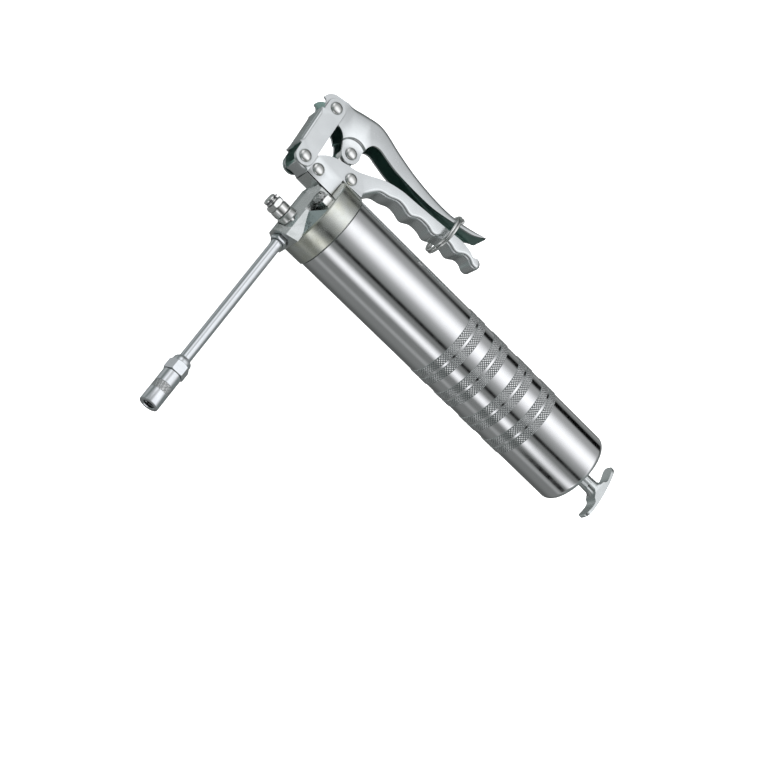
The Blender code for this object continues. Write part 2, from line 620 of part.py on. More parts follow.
def build_grip():
    """Fixed grip: a pressed channel whose web faces the barrel."""
    nose = PIVOT_LINK_GRIP
    under = 15.7 * MM
    notch = 6.4 * MM
    outline = arc(nose, 6.4 * MM, 50, 252, 10)
    outline += [(-20.0 * MM, under), (notch, under), (notch, 30.2 * MM), (23.0 * MM, 30.6 * MM)]
    outline += grip_web_path() + grip_top_path()
    grip = prism("fixed_grip", outline, -HANDLE_HALF, HANDLE_HALF, "Z", "zinc_sheet")
    inside = HANDLE_HALF - SHEET
    nose_web = (-25.4 * MM, -15.5 * MM)
    floor = under + SHEET
    below = 5.0 * MM
    above = 90.0 * MM
    hollow = [(-40 * MM, below), (nose_web[0], below), (nose_web[0], floor), (nose_web[1], floor),
              (nose_web[1], below), (23.9 * MM, below)]
    hollow += shifted(grip_web_path(), SHEET)
    hollow += [(117.0 * MM, above), (-40 * MM, above)]
    cut(grip, prism("hollow", hollow, -inside, inside))
    return drill(grip, SHANK_RADIUS + GAP, -12 * MM, 12 * MM, "Z", PIVOT_LINK_GRIP, RIVET_GRIP_FRONT,
                 RIVET_GRIP_BACK)


def lever_back_path():
    """Outer face of the lever's web, from behind the hooks to the tip."""
    return flowing([(-21.5, 77.8), (-13.5, 80.8), (-5.7, 83.2), (1.6, 85.1), (7.6, 85.1), (14.4, 83.7),
                    (23.4, 81.0), (34.8, 78.3), (45.7, 76.3), (57.4, 75.0), (71.0, 74.4),
                    (82.5, 75.0), (95.0, 76.8), (110.2, 80.4)], 3)


def lever_outline():
    """Side of the lever: hooked front, eye over the plunger and a long tapered tail."""
    eye = PIVOT_PLUNGER
    hook = flowing([(-34.6, 65.4), (-36.0, 66.9), (-37.7, 67.5), (-37.4, 70.0), (-36.0, 72.6),
                    (-33.0, 75.0), (-28.9, 75.9)], 2)
    under = flowing([(107.6, 78.4), (99.6, 73.8), (84.0, 69.8), (68.7, 66.3), (57.3, 65.4),
                     (43.2, 65.3), (30.9, 65.9), (20.1, 67.9), (13.4, 69.2), (8.6, 67.6),
                     (6.2, 63.4), (5.6, 57.6)], 2)
    front = flowing([(-8.0, 51.6), (-11.1, 54.4), (-14.5, 57.4), (-19.0, 58.8), (-26.0, 58.0),
                     (-31.6, 60.2)], 3)
    return hook + lever_back_path() + under + arc(eye, EYE_LOBE, 10, -160, 10) + front


def build_lever():
    """Upper lever: a pressed channel, its eyes set inwards to meet the plunger's tang."""
    lever = prism("upper_lever", lever_outline(), -HANDLE_HALF, HANDLE_HALF, "Z", "zinc_sheet")
    inside = HANDLE_HALF - SHEET
    below = 30.0 * MM
    hollow = [(-50 * MM, below), (130 * MM, below), (130 * MM, 79.0 * MM)]
    hollow += list(reversed(shifted(lever_back_path(), -SHEET)))
    hollow += [(-21.5 * MM, 95 * MM), (-50 * MM, 95 * MM)]
    core = prism("hollow", hollow, -inside, inside)
    outer_face = HANDLE_HALF - EYE_SETBACK
    inner_face = outer_face - SHEET
    beyond = 12 * MM
    disc = circle(PIVOT_PLUNGER, EYE_RADIUS, 32)
    cut(core, prism("left_eye", disc, -beyond, -inner_face), prism("right_eye", disc, inner_face, beyond))
    cut(lever, core)
    recess = circle(PIVOT_PLUNGER, EYE_RADIUS - 1.2 * MM, 32)
    cut(lever, prism("left_recess", recess, -beyond, -outer_face),
        prism("right_recess", recess, outer_face, beyond))
    return drill(lever, SHANK_RADIUS + GAP, -12 * MM, 12 * MM, "Z", PIVOT_LINK_LEVER, PIVOT_PLUNGER)


def build_link():
    """Toggle link: two plates round the pivots, joined by a web on the outside."""
    start = Vector(PIVOT_LINK_GRIP)
    along = Vector(PIVOT_LINK_LEVER) - start
    length = along.length
    along.normalize()
    across = Vector((-along.y, along.x))
    end_radius = 6.7 * MM
    web_face = 8.8 * MM
    web_low = 6.2 * MM
    web_high = length - 6.4 * MM
    slope = 0.9 * MM
    turn = 90.0
    local = arc((0, 0), end_radius, turn + 8, turn + 180, 8)
    local += arc((length, 0), end_radius, turn + 180, turn + 352, 8)
    local += [(web_high + slope, end_radius), (web_high, web_face), (web_low, web_face),
              (web_low - slope, end_radius)]

    def placed(outline):
        return [tuple(start + along * u + across * v) for u, v in outline]

    link = prism("link", placed(local), -LINK_HALF, LINK_HALF, "Z", "zinc_sheet")
    inside = LINK_HALF - SHEET
    reach = 20 * MM
    floor = web_face - SHEET
    hollow = [(-reach, -reach), (length + reach, -reach), (length + reach, reach), (web_high, reach),
              (web_high, floor), (web_low, floor), (web_low, reach), (-reach, reach)]
    cut(link, prism("hollow", placed(hollow), -inside, inside))
    return drill(link, SHANK_RADIUS + GAP, -12 * MM, 12 * MM, "Z", PIVOT_LINK_GRIP, PIVOT_LINK_LEVER)


def build_rivet(name, centre, face):
    """A shank with a domed head on each side, standing just clear of the outer faces."""
    base = face + 0.15 * MM
    top = [(base + RIVET_HEAD_HEIGHT * sin(radians(a)), RIVET_HEAD_RADIUS * cos(radians(a)))
           for a in (0, 25, 50, 72)]
    half = [(base, SHANK_RADIUS)] + top + [(base + RIVET_HEAD_HEIGHT, 0.0)]
    profile = [(-along, radius) for along, radius in reversed(half)] + half
    return lathe(name, profile, "Z", centre, 20)


def build_rivets():
    eye_face = HANDLE_HALF - EYE_SETBACK
    for name, centre, face in (("rivet_link_grip", PIVOT_LINK_GRIP, LINK_HALF),
                               ("rivet_grip_front", RIVET_GRIP_FRONT, HANDLE_HALF),
                               ("rivet_grip_back", RIVET_GRIP_BACK, HANDLE_HALF),
                               ("rivet_link_lever", PIVOT_LINK_LEVER, LINK_HALF),
                               ("rivet_plunger", PIVOT_PLUNGER, eye_face)):
        build_rivet(name, centre, face)


def build_lock_ring():
    """Two turns of wire round both handles."""
    turns = 2
    steps = 20
    points = []
    for i in range(turns * steps + 1):
        angle = tau * i / steps + pi / 3
        along = RING_X + RING_PITCH * (i / steps - turns / 2)
        points.append((along, RING_Y + RING_RADIUS * cos(angle), RING_RADIUS * sin(angle)))
    return tube_along("lock_ring", points, RING_WIRE, 5, "bright_steel")


# ---- assembly ----------------------------------------------------------------------------------
def clear_scene():
    for item in list(bpy.data.objects):
        bpy.data.objects.remove(item, do_unlink=True)


def make_finishes():
    for name, (colour, metallic, roughness) in FINISHES.items():
        finish = bpy.data.materials.new(name)
        finish.use_nodes = True
        shader = finish.node_tree.nodes["Principled BSDF"]
        shader.inputs["Base Color"].default_value = (*colour, 1.0)
        shader.inputs["Metallic"].default_value = metallic
        shader.inputs["Roughness"].default_value = roughness


def overall_middle():
    """Centre of the box round every piece."""
    corners = [v.co for item in bpy.data.objects for v in item.data.vertices]
    return Vector([(min(c[i] for c in corners) + max(c[i] for c in corners)) / 2 for i in range(3)])


def set_origins():
    """Puts the part's frame at its middle, and each turning piece's origin on its own pivot."""
    pivots = {
        "link": PIVOT_LINK_GRIP,
        "upper_lever": PIVOT_LINK_LEVER,
        "rivet_link_lever": PIVOT_LINK_LEVER,
        "rivet_plunger": PIVOT_PLUNGER,
    }
    pivot_points = {name: Vector((x, y, 0.0)) for name, (x, y) in pivots.items()}
    pivot_points["bleed_screw"] = Vector((0.0, BLEED_Y, BLEED_Z))
    pivot_points["filler_check_ball"] = Vector((0.0, FILLER_Y, FILLER_Z))
    pivot_points["lock_ring"] = Vector((RING_X, RING_Y, 0.0))
    middle = overall_middle()
    for item in bpy.data.objects:
        origin = pivot_points.get(item.name, Vector((0.0, 0.0, 0.0)))
        item.data.transform(Matrix.Translation(-origin))
        item.location = origin - middle


def main():
    clear_scene()
    make_finishes()
    build_barrel()
    build_tail_bush()
    build_gasket()
    build_follower()
    build_t_handle()
    build_head()
    build_plunger()
    build_outlet()
    build_coupler()
    build_filler()
    build_bleed_valve()
    build_grip()
    build_lever()
    build_link()
    build_rivets()
    build_lock_ring()
    set_origins()


main()
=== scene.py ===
"""Looks of the lever grease gun: fine surfaces, finishes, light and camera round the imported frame.

Every piece is drawn in millimetres from the point where the pump's bore crosses the barrel's axis,
with +X towards the barrel's tail, +Y towards the lever and +Z square to the plane of the handles.
"""
import json
from math import cos, hypot, pi, radians, sin, sqrt, tau

import bmesh
import bpy
from mathutils import Matrix, Vector
from mathutils.geometry import delaunay_2d_cdt


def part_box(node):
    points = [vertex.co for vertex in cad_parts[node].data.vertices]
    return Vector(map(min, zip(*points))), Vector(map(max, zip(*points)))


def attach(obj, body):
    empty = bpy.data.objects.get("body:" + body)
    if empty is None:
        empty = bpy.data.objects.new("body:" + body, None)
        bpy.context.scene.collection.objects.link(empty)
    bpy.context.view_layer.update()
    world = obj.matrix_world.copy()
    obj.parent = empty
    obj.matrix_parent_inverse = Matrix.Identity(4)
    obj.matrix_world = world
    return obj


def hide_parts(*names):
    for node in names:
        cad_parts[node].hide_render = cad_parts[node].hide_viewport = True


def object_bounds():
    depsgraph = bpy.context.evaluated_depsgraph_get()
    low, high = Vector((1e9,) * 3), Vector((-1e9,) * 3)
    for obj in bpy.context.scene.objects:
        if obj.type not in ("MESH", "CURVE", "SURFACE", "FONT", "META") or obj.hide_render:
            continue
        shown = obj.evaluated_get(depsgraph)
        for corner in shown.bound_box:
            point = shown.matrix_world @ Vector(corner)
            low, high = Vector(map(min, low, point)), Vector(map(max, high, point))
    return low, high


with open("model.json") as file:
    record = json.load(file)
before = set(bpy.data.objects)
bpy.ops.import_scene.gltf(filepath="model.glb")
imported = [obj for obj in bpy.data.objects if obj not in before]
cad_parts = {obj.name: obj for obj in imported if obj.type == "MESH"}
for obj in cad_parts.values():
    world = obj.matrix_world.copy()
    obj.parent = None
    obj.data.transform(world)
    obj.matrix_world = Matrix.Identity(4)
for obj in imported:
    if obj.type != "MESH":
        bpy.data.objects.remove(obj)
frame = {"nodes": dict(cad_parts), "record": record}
cad_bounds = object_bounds()
MM = 0.001


# ---- places taken from the frame ----
X, Y, Z = 0, 1, 2


def middle_of(node):
    low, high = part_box(node)
    return (low + high) / 2


PUMP = Vector((middle_of("outlet_pipe").x, middle_of("barrel_tube").y, middle_of("barrel_tube").z))


def span(node, axis):
    """Lowest and highest place of a CAD node along an axis, in millimetres from the pump."""
    low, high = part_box(node)
    return (low[axis] - PUMP[axis]) / MM, (high[axis] - PUMP[axis]) / MM


def hub(node, *axes):
    """Middle of a CAD node on the axes named, in millimetres from the pump."""
    place = (middle_of(node) - PUMP) / MM
    return tuple(place[axis] for axis in axes)


BARREL_NECK, BARREL_TAIL = span("barrel_tube", X)
BARREL_RADIUS = span("barrel_tube", Z)[1] - 0.4
KNURL_HEIGHT = 0.45
CAP_RADIUS = span("head_casting", Z)[1]
CAP_FACE = 6.8
CAP_JOINT = 22.9  # x where the cap's skirt meets the barrel
BLOCK_BOTTOM, BLOCK_TOP = -31.0, 14.0
RIVET_A = hub("rivet_link_grip", X, Y)
RIVET_B = hub("rivet_grip_front", X, Y)
RIVET_C = hub("rivet_grip_back", X, Y)
RIVET_D = hub("rivet_link_lever", X, Y)
RIVET_E = hub("rivet_plunger", X, Y)
FILLER = hub("filler_nipple", Y, Z)
BLEED = hub("bleed_screw", Y, Z)
GRIP_HALF = span("fixed_grip", Z)[1]
LEVER_HALF = span("upper_lever", Z)[1]
LINK_HALF = span("link", Z)[1]
PIPE_LOW, PIPE_HIGH = span("outlet_pipe", Y)
SLEEVE_LOW, SLEEVE_HIGH = span("coupler_sleeve", Y)
SLEEVE_RADIUS = span("coupler_sleeve", X)[1]
SLEEVE_GAP = 0.3  # between the sleeve and the coupler's body
NUT_LOW = span("outlet_nut", Y)[0]
SHEET = 1.6  # thickness of the pressed sheet
BEND = 3.0  # outer radius of its bends


# ---- finishes ----
class Nodes:
    """Shorthand for building one node tree."""

    def __init__(self, tree):
        self.tree = tree

    def add(self, kind, **values):
        node = self.tree.nodes.new(kind)
        for name, value in values.items():
            setattr(node, name, value)
        return node

    def link(self, source, target):
        self.tree.links.new(source, target)

    def maths(self, operation, first, second=None):
        node = self.add("ShaderNodeMath", operation=operation)
        for socket, value in zip(node.inputs, (first, second)):
            if value is None:
                continue
            if isinstance(value, (int, float)):
                socket.default_value = value
            else:
                self.link(value, socket)
        return node.outputs[0]

    def mapped(self, value, low, high, to_low, to_high):
        """A value moved smoothly from one range to another."""
        node = self.add("ShaderNodeMapRange", interpolation_type="SMOOTHSTEP")
        self.link(value, node.inputs["Value"])
        for name, number in (("From Min", low), ("From Max", high), ("To Min", to_low), ("To Max", to_high)):
            node.inputs[name].default_value = number
        return node.outputs["Result"]

    def noise(self, vector, size, detail):
        """Noise whose features are about this size in millimetres."""
        node = self.add("ShaderNodeTexNoise")
        node.inputs["Scale"].default_value = 1 / (size * MM)
        node.inputs["Detail"].default_value = detail
        self.link(vector, node.inputs["Vector"])
        return node.outputs["Fac"]

    def mixed(self, factor, first, second):
        node = self.add("ShaderNodeMix", data_type="RGBA")
        self.link(factor, node.inputs["Factor"])
        for name, colour in (("A", first), ("B", second)):
            socket = [s for s in node.inputs if s.name == name and s.type == "RGBA"][0]
            if isinstance(colour, tuple):
                socket.default_value = (*colour, 1.0)
            else:
                self.link(colour, socket)
        return [s for s in node.outputs if s.type == "RGBA"][0]

    def relief(self, height, strength, distance):
        """A bump node that follows a height, with its distance in millimetres."""
        node = self.add("ShaderNodeBump")
        node.inputs["Strength"].default_value = strength
        node.inputs["Distance"].default_value = distance * MM
        self.link(height, node.inputs["Height"])
        return node


def edge_mask(nodes, radius):
    """1 on sharp edges and 0 on open surfaces, from how far a rounded normal turns away."""
    rounded = nodes.add("ShaderNodeBevel", samples=4)
    rounded.inputs["Radius"].default_value = radius * MM
    plain = nodes.add("ShaderNodeNewGeometry")
    product = nodes.add("ShaderNodeVectorMath", operation="DOT_PRODUCT")
    nodes.link(rounded.outputs["Normal"], product.inputs[0])
    nodes.link(plain.outputs["Normal"], product.inputs[1])
    return nodes.mapped(product.outputs["Value"], 0.97, 0.80, 0.0, 1.0)


def crevice_shade_mask(nodes, reach):
    """1 in corners and close gaps and 0 on open surfaces, from ambient occlusion, for painting shade there.
    """
    corner = nodes.add("ShaderNodeAmbientOcclusion", samples=6)
    corner.inputs["Distance"].default_value = reach * MM
    return nodes.mapped(corner.outputs["AO"], 0.30, 0.92, 1.0, 0.0)


LOOKS = {}  # the materials, by name


def new_look(name):
    """Starts a material; returns its nodes and its shader."""
    material = bpy.data.materials.new(name)
    material.use_nodes = True
    LOOKS[name] = material
    return Nodes(material.node_tree), material.node_tree.nodes["Principled BSDF"]


def dimmed(colour, factor):
    return tuple(factor * c for c in colour)


def metal(name, colour, roughness, *, grain, bump, edge, stain=None, stain_size=9.0, stain_amount=0.35,
          brushed=None, speckle=0.0, grooves=False, crevice_shade=0.55, dent=0.0):
    """A plated or bare metal: stains, grain, brush marks, a painted highlight on sharp edges, painted shade
    in corners and close gaps, and painted shade in knurl grooves where asked.

    dent is the depth in millimetres of its broad unevenness.
    """
    nodes, shader = new_look(name)
    shader.inputs["Metallic"].default_value = 1.0
    place = nodes.add("ShaderNodeTexCoord").outputs["Object"]
    stained = nodes.mapped(nodes.noise(place, stain_size, 4.0), 0.35, 0.68, 0.0, stain_amount)
    tone = nodes.mixed(stained, colour, stain or dimmed(colour, 0.82))
    if speckle:
        spots = nodes.mapped(nodes.noise(place, 0.55, 1.0), 0.66, 0.74, 0.0, speckle)
        tone = nodes.mixed(spots, tone, dimmed(colour, 0.35))
    # painted highlight: sharp edges lighter than the metal's own colour
    if edge:
        edge_highlight = nodes.maths("MULTIPLY", edge_mask(nodes, 0.45), edge)
        tone = nodes.mixed(edge_highlight, tone, tuple(min(1.15 * c + 0.08, 0.97) for c in colour))
    # painted shade: the colour is darkened in the corners and close gaps that ambient occlusion finds
    if crevice_shade:
        painted_shade = nodes.maths("MULTIPLY", crevice_shade_mask(nodes, 2.2), crevice_shade)
        tone = nodes.mixed(painted_shade, tone, dimmed(colour, 0.22))
    # painted shade in the knurl's grooves: darker where the groove attribute marks a groove
    if grooves:
        depth = nodes.add("ShaderNodeAttribute", attribute_name="groove").outputs["Fac"]
        painted_shade = nodes.mapped(depth, 0.25, 0.8, 0.0, 0.9)
        tone = nodes.mixed(painted_shade, tone, (0.125, 0.13, 0.13))
    nodes.link(tone, shader.inputs["Base Color"])

    marks = place
    if brushed:
        stretch = nodes.add("ShaderNodeMapping")
        stretch.inputs["Scale"].default_value = brushed
        nodes.link(place, stretch.inputs["Vector"])
        marks = stretch.outputs["Vector"]
    fine = nodes.noise(marks, grain, 5.0)
    cloudy = nodes.noise(place, 6.0, 3.0)
    rough = nodes.maths("ADD", nodes.mapped(cloudy, 0.3, 0.7, -0.15 * roughness, 0.2 * roughness),
                        nodes.mapped(fine, 0.3, 0.7, 0.85 * roughness, 1.15 * roughness))
    nodes.link(rough, shader.inputs["Roughness"])
    relief = nodes.relief(fine, bump, 0.2)
    if dent:
        broad = nodes.relief(nodes.noise(place, 26.0, 1.0), 1.0, dent)
        nodes.link(broad.outputs["Normal"], relief.inputs["Normal"])
    nodes.link(relief.outputs["Normal"], shader.inputs["Normal"])


def rubber():
    """Black moulded rubber with a faint bloom."""
    nodes, shader = new_look("rubber")
    place = nodes.add("ShaderNodeTexCoord").outputs["Object"]
    bloom = nodes.mapped(nodes.noise(place, 4.0, 4.0), 0.35, 0.75, 0.0, 1.0)
    nodes.link(nodes.mixed(bloom, (0.012, 0.012, 0.012), (0.035, 0.035, 0.037)), shader.inputs["Base Color"])
    nodes.link(nodes.mapped(bloom, 0.0, 1.0, 0.5, 0.75), shader.inputs["Roughness"])
    relief = nodes.relief(nodes.noise(place, 0.4, 3.0), 0.15, 0.2)
    nodes.link(relief.outputs["Normal"], shader.inputs["Normal"])


metal("nickel", (0.93, 0.93, 0.94), 0.12, stain_amount=0.08, grain=0.25, bump=0.015,
      brushed=(1.0, 0.04, 0.04), edge=0.2, crevice_shade=0.4)
metal("knurl", (0.93, 0.935, 0.94), 0.15, stain_amount=0.1, grain=0.3, bump=0.015, edge=0.0,
      grooves=True, crevice_shade=0.0)
metal("cap_cast", (0.80, 0.82, 0.785), 0.24, stain=(0.72, 0.705, 0.54), stain_size=16.0,
      stain_amount=0.6, grain=0.6, bump=0.07, edge=0.6, speckle=0.16)
metal("head_cast", (0.80, 0.82, 0.815), 0.25, stain=(0.70, 0.74, 0.72), stain_size=12.0,
      stain_amount=0.4, grain=0.6, bump=0.06, edge=0.7, speckle=0.12, crevice_shade=0.7)
# a darker, teal copy of the head casting's finish for the ramp: painted shade
metal("shaded_ramp_cast", (0.58, 0.67, 0.67), 0.24, stain=(0.48, 0.58, 0.58), grain=0.6, bump=0.05,
      edge=0.8, speckle=0.08, crevice_shade=0.8)
metal("handle_cast", (0.80, 0.83, 0.83), 0.20, stain=(0.70, 0.73, 0.72), grain=0.5, bump=0.04,
      edge=0.5, speckle=0.08, crevice_shade=0.7)
metal("zinc_sheet", (0.845, 0.868, 0.875), 0.21, stain=(0.77, 0.80, 0.81), stain_size=20.0,
      grain=0.9, bump=0.008, edge=0.6, speckle=0.03, crevice_shade=1.0, dent=0.5)
# a darker, teal copy of the sheet's zinc for the insides of the channels: painted shade
metal("shaded_zinc_inside", (0.33, 0.48, 0.44), 0.40, stain=(0.20, 0.31, 0.28), grain=0.6, bump=0.05,
      edge=0.0, crevice_shade=0.5)
metal("zinc_pipe", (0.88, 0.90, 0.93), 0.19, stain=(0.82, 0.85, 0.88), grain=0.5, bump=0.008, edge=0.4)
metal("bright_steel", (0.92, 0.92, 0.91), 0.17, stain=(0.84, 0.84, 0.80), grain=0.4, bump=0.012, edge=0.4)
metal("spring_steel", (0.42, 0.42, 0.44), 0.34, grain=0.3, bump=0.08, edge=0.2)
rubber()
LOOKS["cast_zinc"] = LOOKS["head_cast"]


# ---- outlines ----
def arc(centre, radius, start, stop, steps):
    """Points along an arc, angles in degrees, both ends included."""
    angles = [radians(start + (stop - start) * i / steps) for i in range(steps + 1)]
    return [(centre[0] + radius * cos(a), centre[1] + radius * sin(a)) for a in angles]


def circle(centre, radius, steps):
    return arc(centre, radius, 0, 360, steps)[:-1]


def hexagon(centre, flats, turn):
    return arc(centre, flats / sqrt(3), turn, turn + 360, 6)[:-1]


def shifted(base, *points):
    """Points whose first number is counted from a base."""
    return [(base + along, across) for along, across in points]


def flowing(points, steps=6):
    """A Catmull-Rom curve through the points."""
    padded = [points[0], *points, points[-1]]
    curve = []
    for p0, p1, p2, p3 in zip(padded, padded[1:], padded[2:], padded[3:]):
        for i in range(steps):
            t = i / steps
            curve.append(tuple(
                0.5 * (2 * b + (c - a) * t + (2 * a - 5 * b + 4 * c - d) * t * t
                       + (3 * b - a - 3 * c + d) * t ** 3)
                for a, b, c, d in zip(p0, p1, p2, p3)))
    curve.append(tuple(points[-1]))
    return curve


def signed_area(outline):
    pairs = zip(outline, outline[1:] + outline[:1])
    return 0.5 * sum(a[0] * b[1] - b[0] * a[1] for a, b in pairs)


def contains(outline, point):
    """True if a point is inside a closed outline."""
    inside = False
    for a, b in zip(outline, outline[1:] + outline[:1]):
        if (a[1] > point[1]) != (b[1] > point[1]):
            crossing = a[0] + (point[1] - a[1]) / (b[1] - a[1]) * (b[0] - a[0])
            inside ^= point[0] < crossing
    return inside


# ---- solids ----
SMOOTH_ANGLE = 35  # degrees: a sharper edge than this stays sharp in the shading
TINY = 1e-6  # a radius, or a difference between two, that counts as none
MERGE = 1e-7  # metres: points of a new piece this near are one


def oriented(along, first, second, axis):
    return {"X": (along, first, second), "Y": (first, along, second), "Z": (first, second, along)}[axis]


def new_piece(name, vertices, faces, look, smooth_angle=SMOOTH_ANGLE, orient=True):
    """A mesh drawn in millimetres from the pump, placed in the frame, with its material slot."""
    mesh = bpy.data.meshes.new(name)
    mesh.from_pydata([Vector(v) * MM for v in vertices], [], faces)
    body = bmesh.new()
    body.from_mesh(mesh)
    bmesh.ops.remove_doubles(body, verts=body.verts, dist=MERGE)
    if orient:
        bmesh.ops.recalc_face_normals(body, faces=body.faces)
    body.to_mesh(mesh)
    body.free()
    mesh.materials.append(LOOKS[look])
    piece = bpy.data.objects.new(name, mesh)
    piece.location = PUMP
    bpy.context.collection.objects.link(piece)
    shade(piece, smooth_angle)
    return piece


def shade(piece, smooth_angle=SMOOTH_ANGLE):
    piece.data.shade_smooth()
    piece.data.set_sharp_from_angle(angle=radians(smooth_angle))


def prism(name, outline, low, high, axis="Z", look="zinc_sheet"):
    """A flat outline carried along an axis; on X it is (y, z), on Y (x, z) and on Z (x, y)."""
    count = len(outline)
    vertices = [oriented(level, u, v, axis) for level in (low, high) for u, v in outline]
    sides = [(i, (i + 1) % count, count + (i + 1) % count, count + i) for i in range(count)]
    ends = [tuple(range(count)), tuple(range(count, 2 * count))]
    return new_piece(name, vertices, sides + ends, look)


GROOVE_LEFT = 0.62  # how much of a knurl's height is left in its grooves
KNURL_SPLIT = 6  # segments from one groove of a knurl to the next


def knurl_rings(low, high, radius, count, height):
    """Rings of a diamond knurl: each a place along the axis and one radius per segment."""
    cell = tau * radius / (KNURL_SPLIT * count)
    steps = max(round(abs(high - low) / cell), 4)
    rings = []
    for j in range(steps + 1):
        edge = 0.0 if j in (0, steps) else 1.0
        radii = []
        for k in range(KNURL_SPLIT * count):
            groove = (k + j) % KNURL_SPLIT == 0 or (k - j) % KNURL_SPLIT == 0
            radii.append(radius + edge * (GROOVE_LEFT * height if groove else height))
        rings.append((low + (high - low) * j / steps, radii))
    return rings


def turned(name, profile, axis, centre=(0.0, 0.0), segments=96, look="bright_steel",
           knurl_look=None, flutes=()):
    """A profile of (along, radius) turned about an axis.

    A profile entry may be ("knurl", low, high, radius, count, height); count grooves
    of KNURL_SPLIT segments each.
    Each flute is (angle, half width, depth), with its depth as a part of the radius.
    """
    vertices = []
    rings = []
    knurled = []
    grooves = []
    angles = [tau * k / segments for k in range(segments)]
    swell = [1.0] * segments
    for middle, half, depth in flutes:
        for k, angle in enumerate(angles):
            away = abs((angle - radians(middle) + pi) % tau - pi) / radians(half)
            if away < 1:
                swell[k] -= depth * (1 + cos(pi * away)) / 2
    for entry in profile:
        if entry[0] == "knurl":
            new = knurl_rings(*entry[1:])
        else:
            new = [(entry[0], [entry[1]] * segments)]
        for along, radii in new:
            if max(radii) < TINY:
                rings.append([len(vertices)] * segments)
                vertices.append(oriented(along, centre[0], centre[1], axis))
                grooves.append(0.0)
                knurled.append(None)
                continue
            rings.append(list(range(len(vertices), len(vertices) + segments)))
            knurled.append(radii if entry[0] == "knurl" else None)
            top = max(radii)
            for angle, radius, factor in zip(angles, radii, swell):
                vertices.append(oriented(along, centre[0] + factor * radius * cos(angle),
                                         centre[1] + factor * radius * sin(angle), axis))
                grooves.append(1.0 if radius < top - TINY else 0.0)
    faces = []
    rough_faces = []
    closed = profile[0][0] == "knurl" or profile[0][1] > TINY
    count = len(rings) if closed else len(rings) - 1
    for i in range(count):
        following = (i + 1) % len(rings)
        here, there = rings[i], rings[following]
        textured = knurled[i] is not None and knurled[following] is not None
        for k in range(segments):
            n = (k + 1) % segments
            if textured:
                along_first = knurled[i][k] + knurled[following][n]
                along_second = knurled[i][n] + knurled[following][k]
                rough_faces += [len(faces), len(faces) + 1]
                if along_first < along_second:
                    faces += [(here[k], here[n], there[n]), (here[k], there[n], there[k])]
                else:
                    faces += [(here[k], here[n], there[k]), (here[n], there[n], there[k])]
                continue
            corners = list(dict.fromkeys((here[k], here[n], there[n], there[k])))
            if len(corners) > 2:
                faces.append(tuple(corners))
    piece = new_piece(name, vertices, faces, look)
    if knurl_look and rough_faces and len(piece.data.polygons) == len(faces):
        piece.data.materials.append(LOOKS[knurl_look])
        for index in rough_faces:
            piece.data.polygons[index].material_index = 1
            piece.data.polygons[index].use_smooth = False
        # groove points, which the knurl finish darkens with painted shade
        mark = piece.data.attributes.new("groove", "FLOAT", "POINT")
        mark.data.foreach_set("value", grooves)
    return piece


def combine(target, tools, operation):
    """Joins tools to a target, or cuts them from it, and removes the tools."""
    for tool in tools:
        step = target.modifiers.new(tool.name, "BOOLEAN")
        step.object = tool
        step.operation = operation
        step.solver = "EXACT"
    graph = bpy.context.evaluated_depsgraph_get()
    finished = bpy.data.meshes.new_from_object(target.evaluated_get(graph))
    target.modifiers.clear()
    target.data = finished
    for tool in tools:
        bpy.data.objects.remove(tool, do_unlink=True)
    shade(target)


def cut(target, *tools):
    combine(target, tools, "DIFFERENCE")


def keep_inside(target, *tools):
    combine(target, tools, "INTERSECT")


def soften(piece, width, segments=3, angle=SMOOTH_ANGLE):
    """Rounds a piece's edges by a width in millimetres."""
    step = piece.modifiers.new("soft edges", "BEVEL")
    step.width = width * MM
    step.segments = segments
    step.limit_method = "ANGLE"
    step.angle_limit = radians(angle)
    step.harden_normals = True
    step.use_clamp_overlap = True


def box(low, high):
    outline = [(low[0], low[1]), (high[0], low[1]), (high[0], high[1]), (low[0], high[1])]
    return prism("box", outline, low[2], high[2])


def bore(low, high, radius, segments):
    """A cylinder along the pump's bore, for cutting a hole."""
    return turned("bore", [(low, 0.0), (low, radius), (high, radius), (high, 0.0)], "Y", segments=segments)


def wire(name, points, radius, sides, look, middle):
    """A round wire that follows a line of points round a middle, closed at both ends."""
    vertices = []
    faces = []
    for i, point in enumerate(points):
        here = Vector(point)
        before, after = points[max(i - 1, 0)], points[min(i + 1, len(points) - 1)]
        along = (Vector(after) - Vector(before)).normalized()
        across = (here - Vector(middle)).cross(along).normalized()
        other = along.cross(across)
        for k in range(sides):
            angle = tau * k / sides
            vertices.append(here + radius * (cos(angle) * across + sin(angle) * other))
    for i in range(len(points) - 1):
        for k in range(sides):
            a = i * sides + k
            b = i * sides + (k + 1) % sides
            faces.append((a, b, b + sides, a + sides))
    faces.append(tuple(range(sides)))
    faces.append(tuple(range(len(vertices) - sides, len(vertices))))
    return new_piece(name, vertices, faces, look, 50)


def fit(piece, body, *nodes):
    """Puts a piece on its CAD body, in place of the CAD nodes named."""
    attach(piece, body)
    if nodes:
        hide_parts(*nodes)


# ---- pressed sheet ----
DENT_RINGS = 6  # rings of points round a dent, DENT_POINTS on each
DENT_POINTS = 72
BEND_STEPS = 7  # points round each bend
CLOSE = 0.01 * MM  # points and levels this near count as one


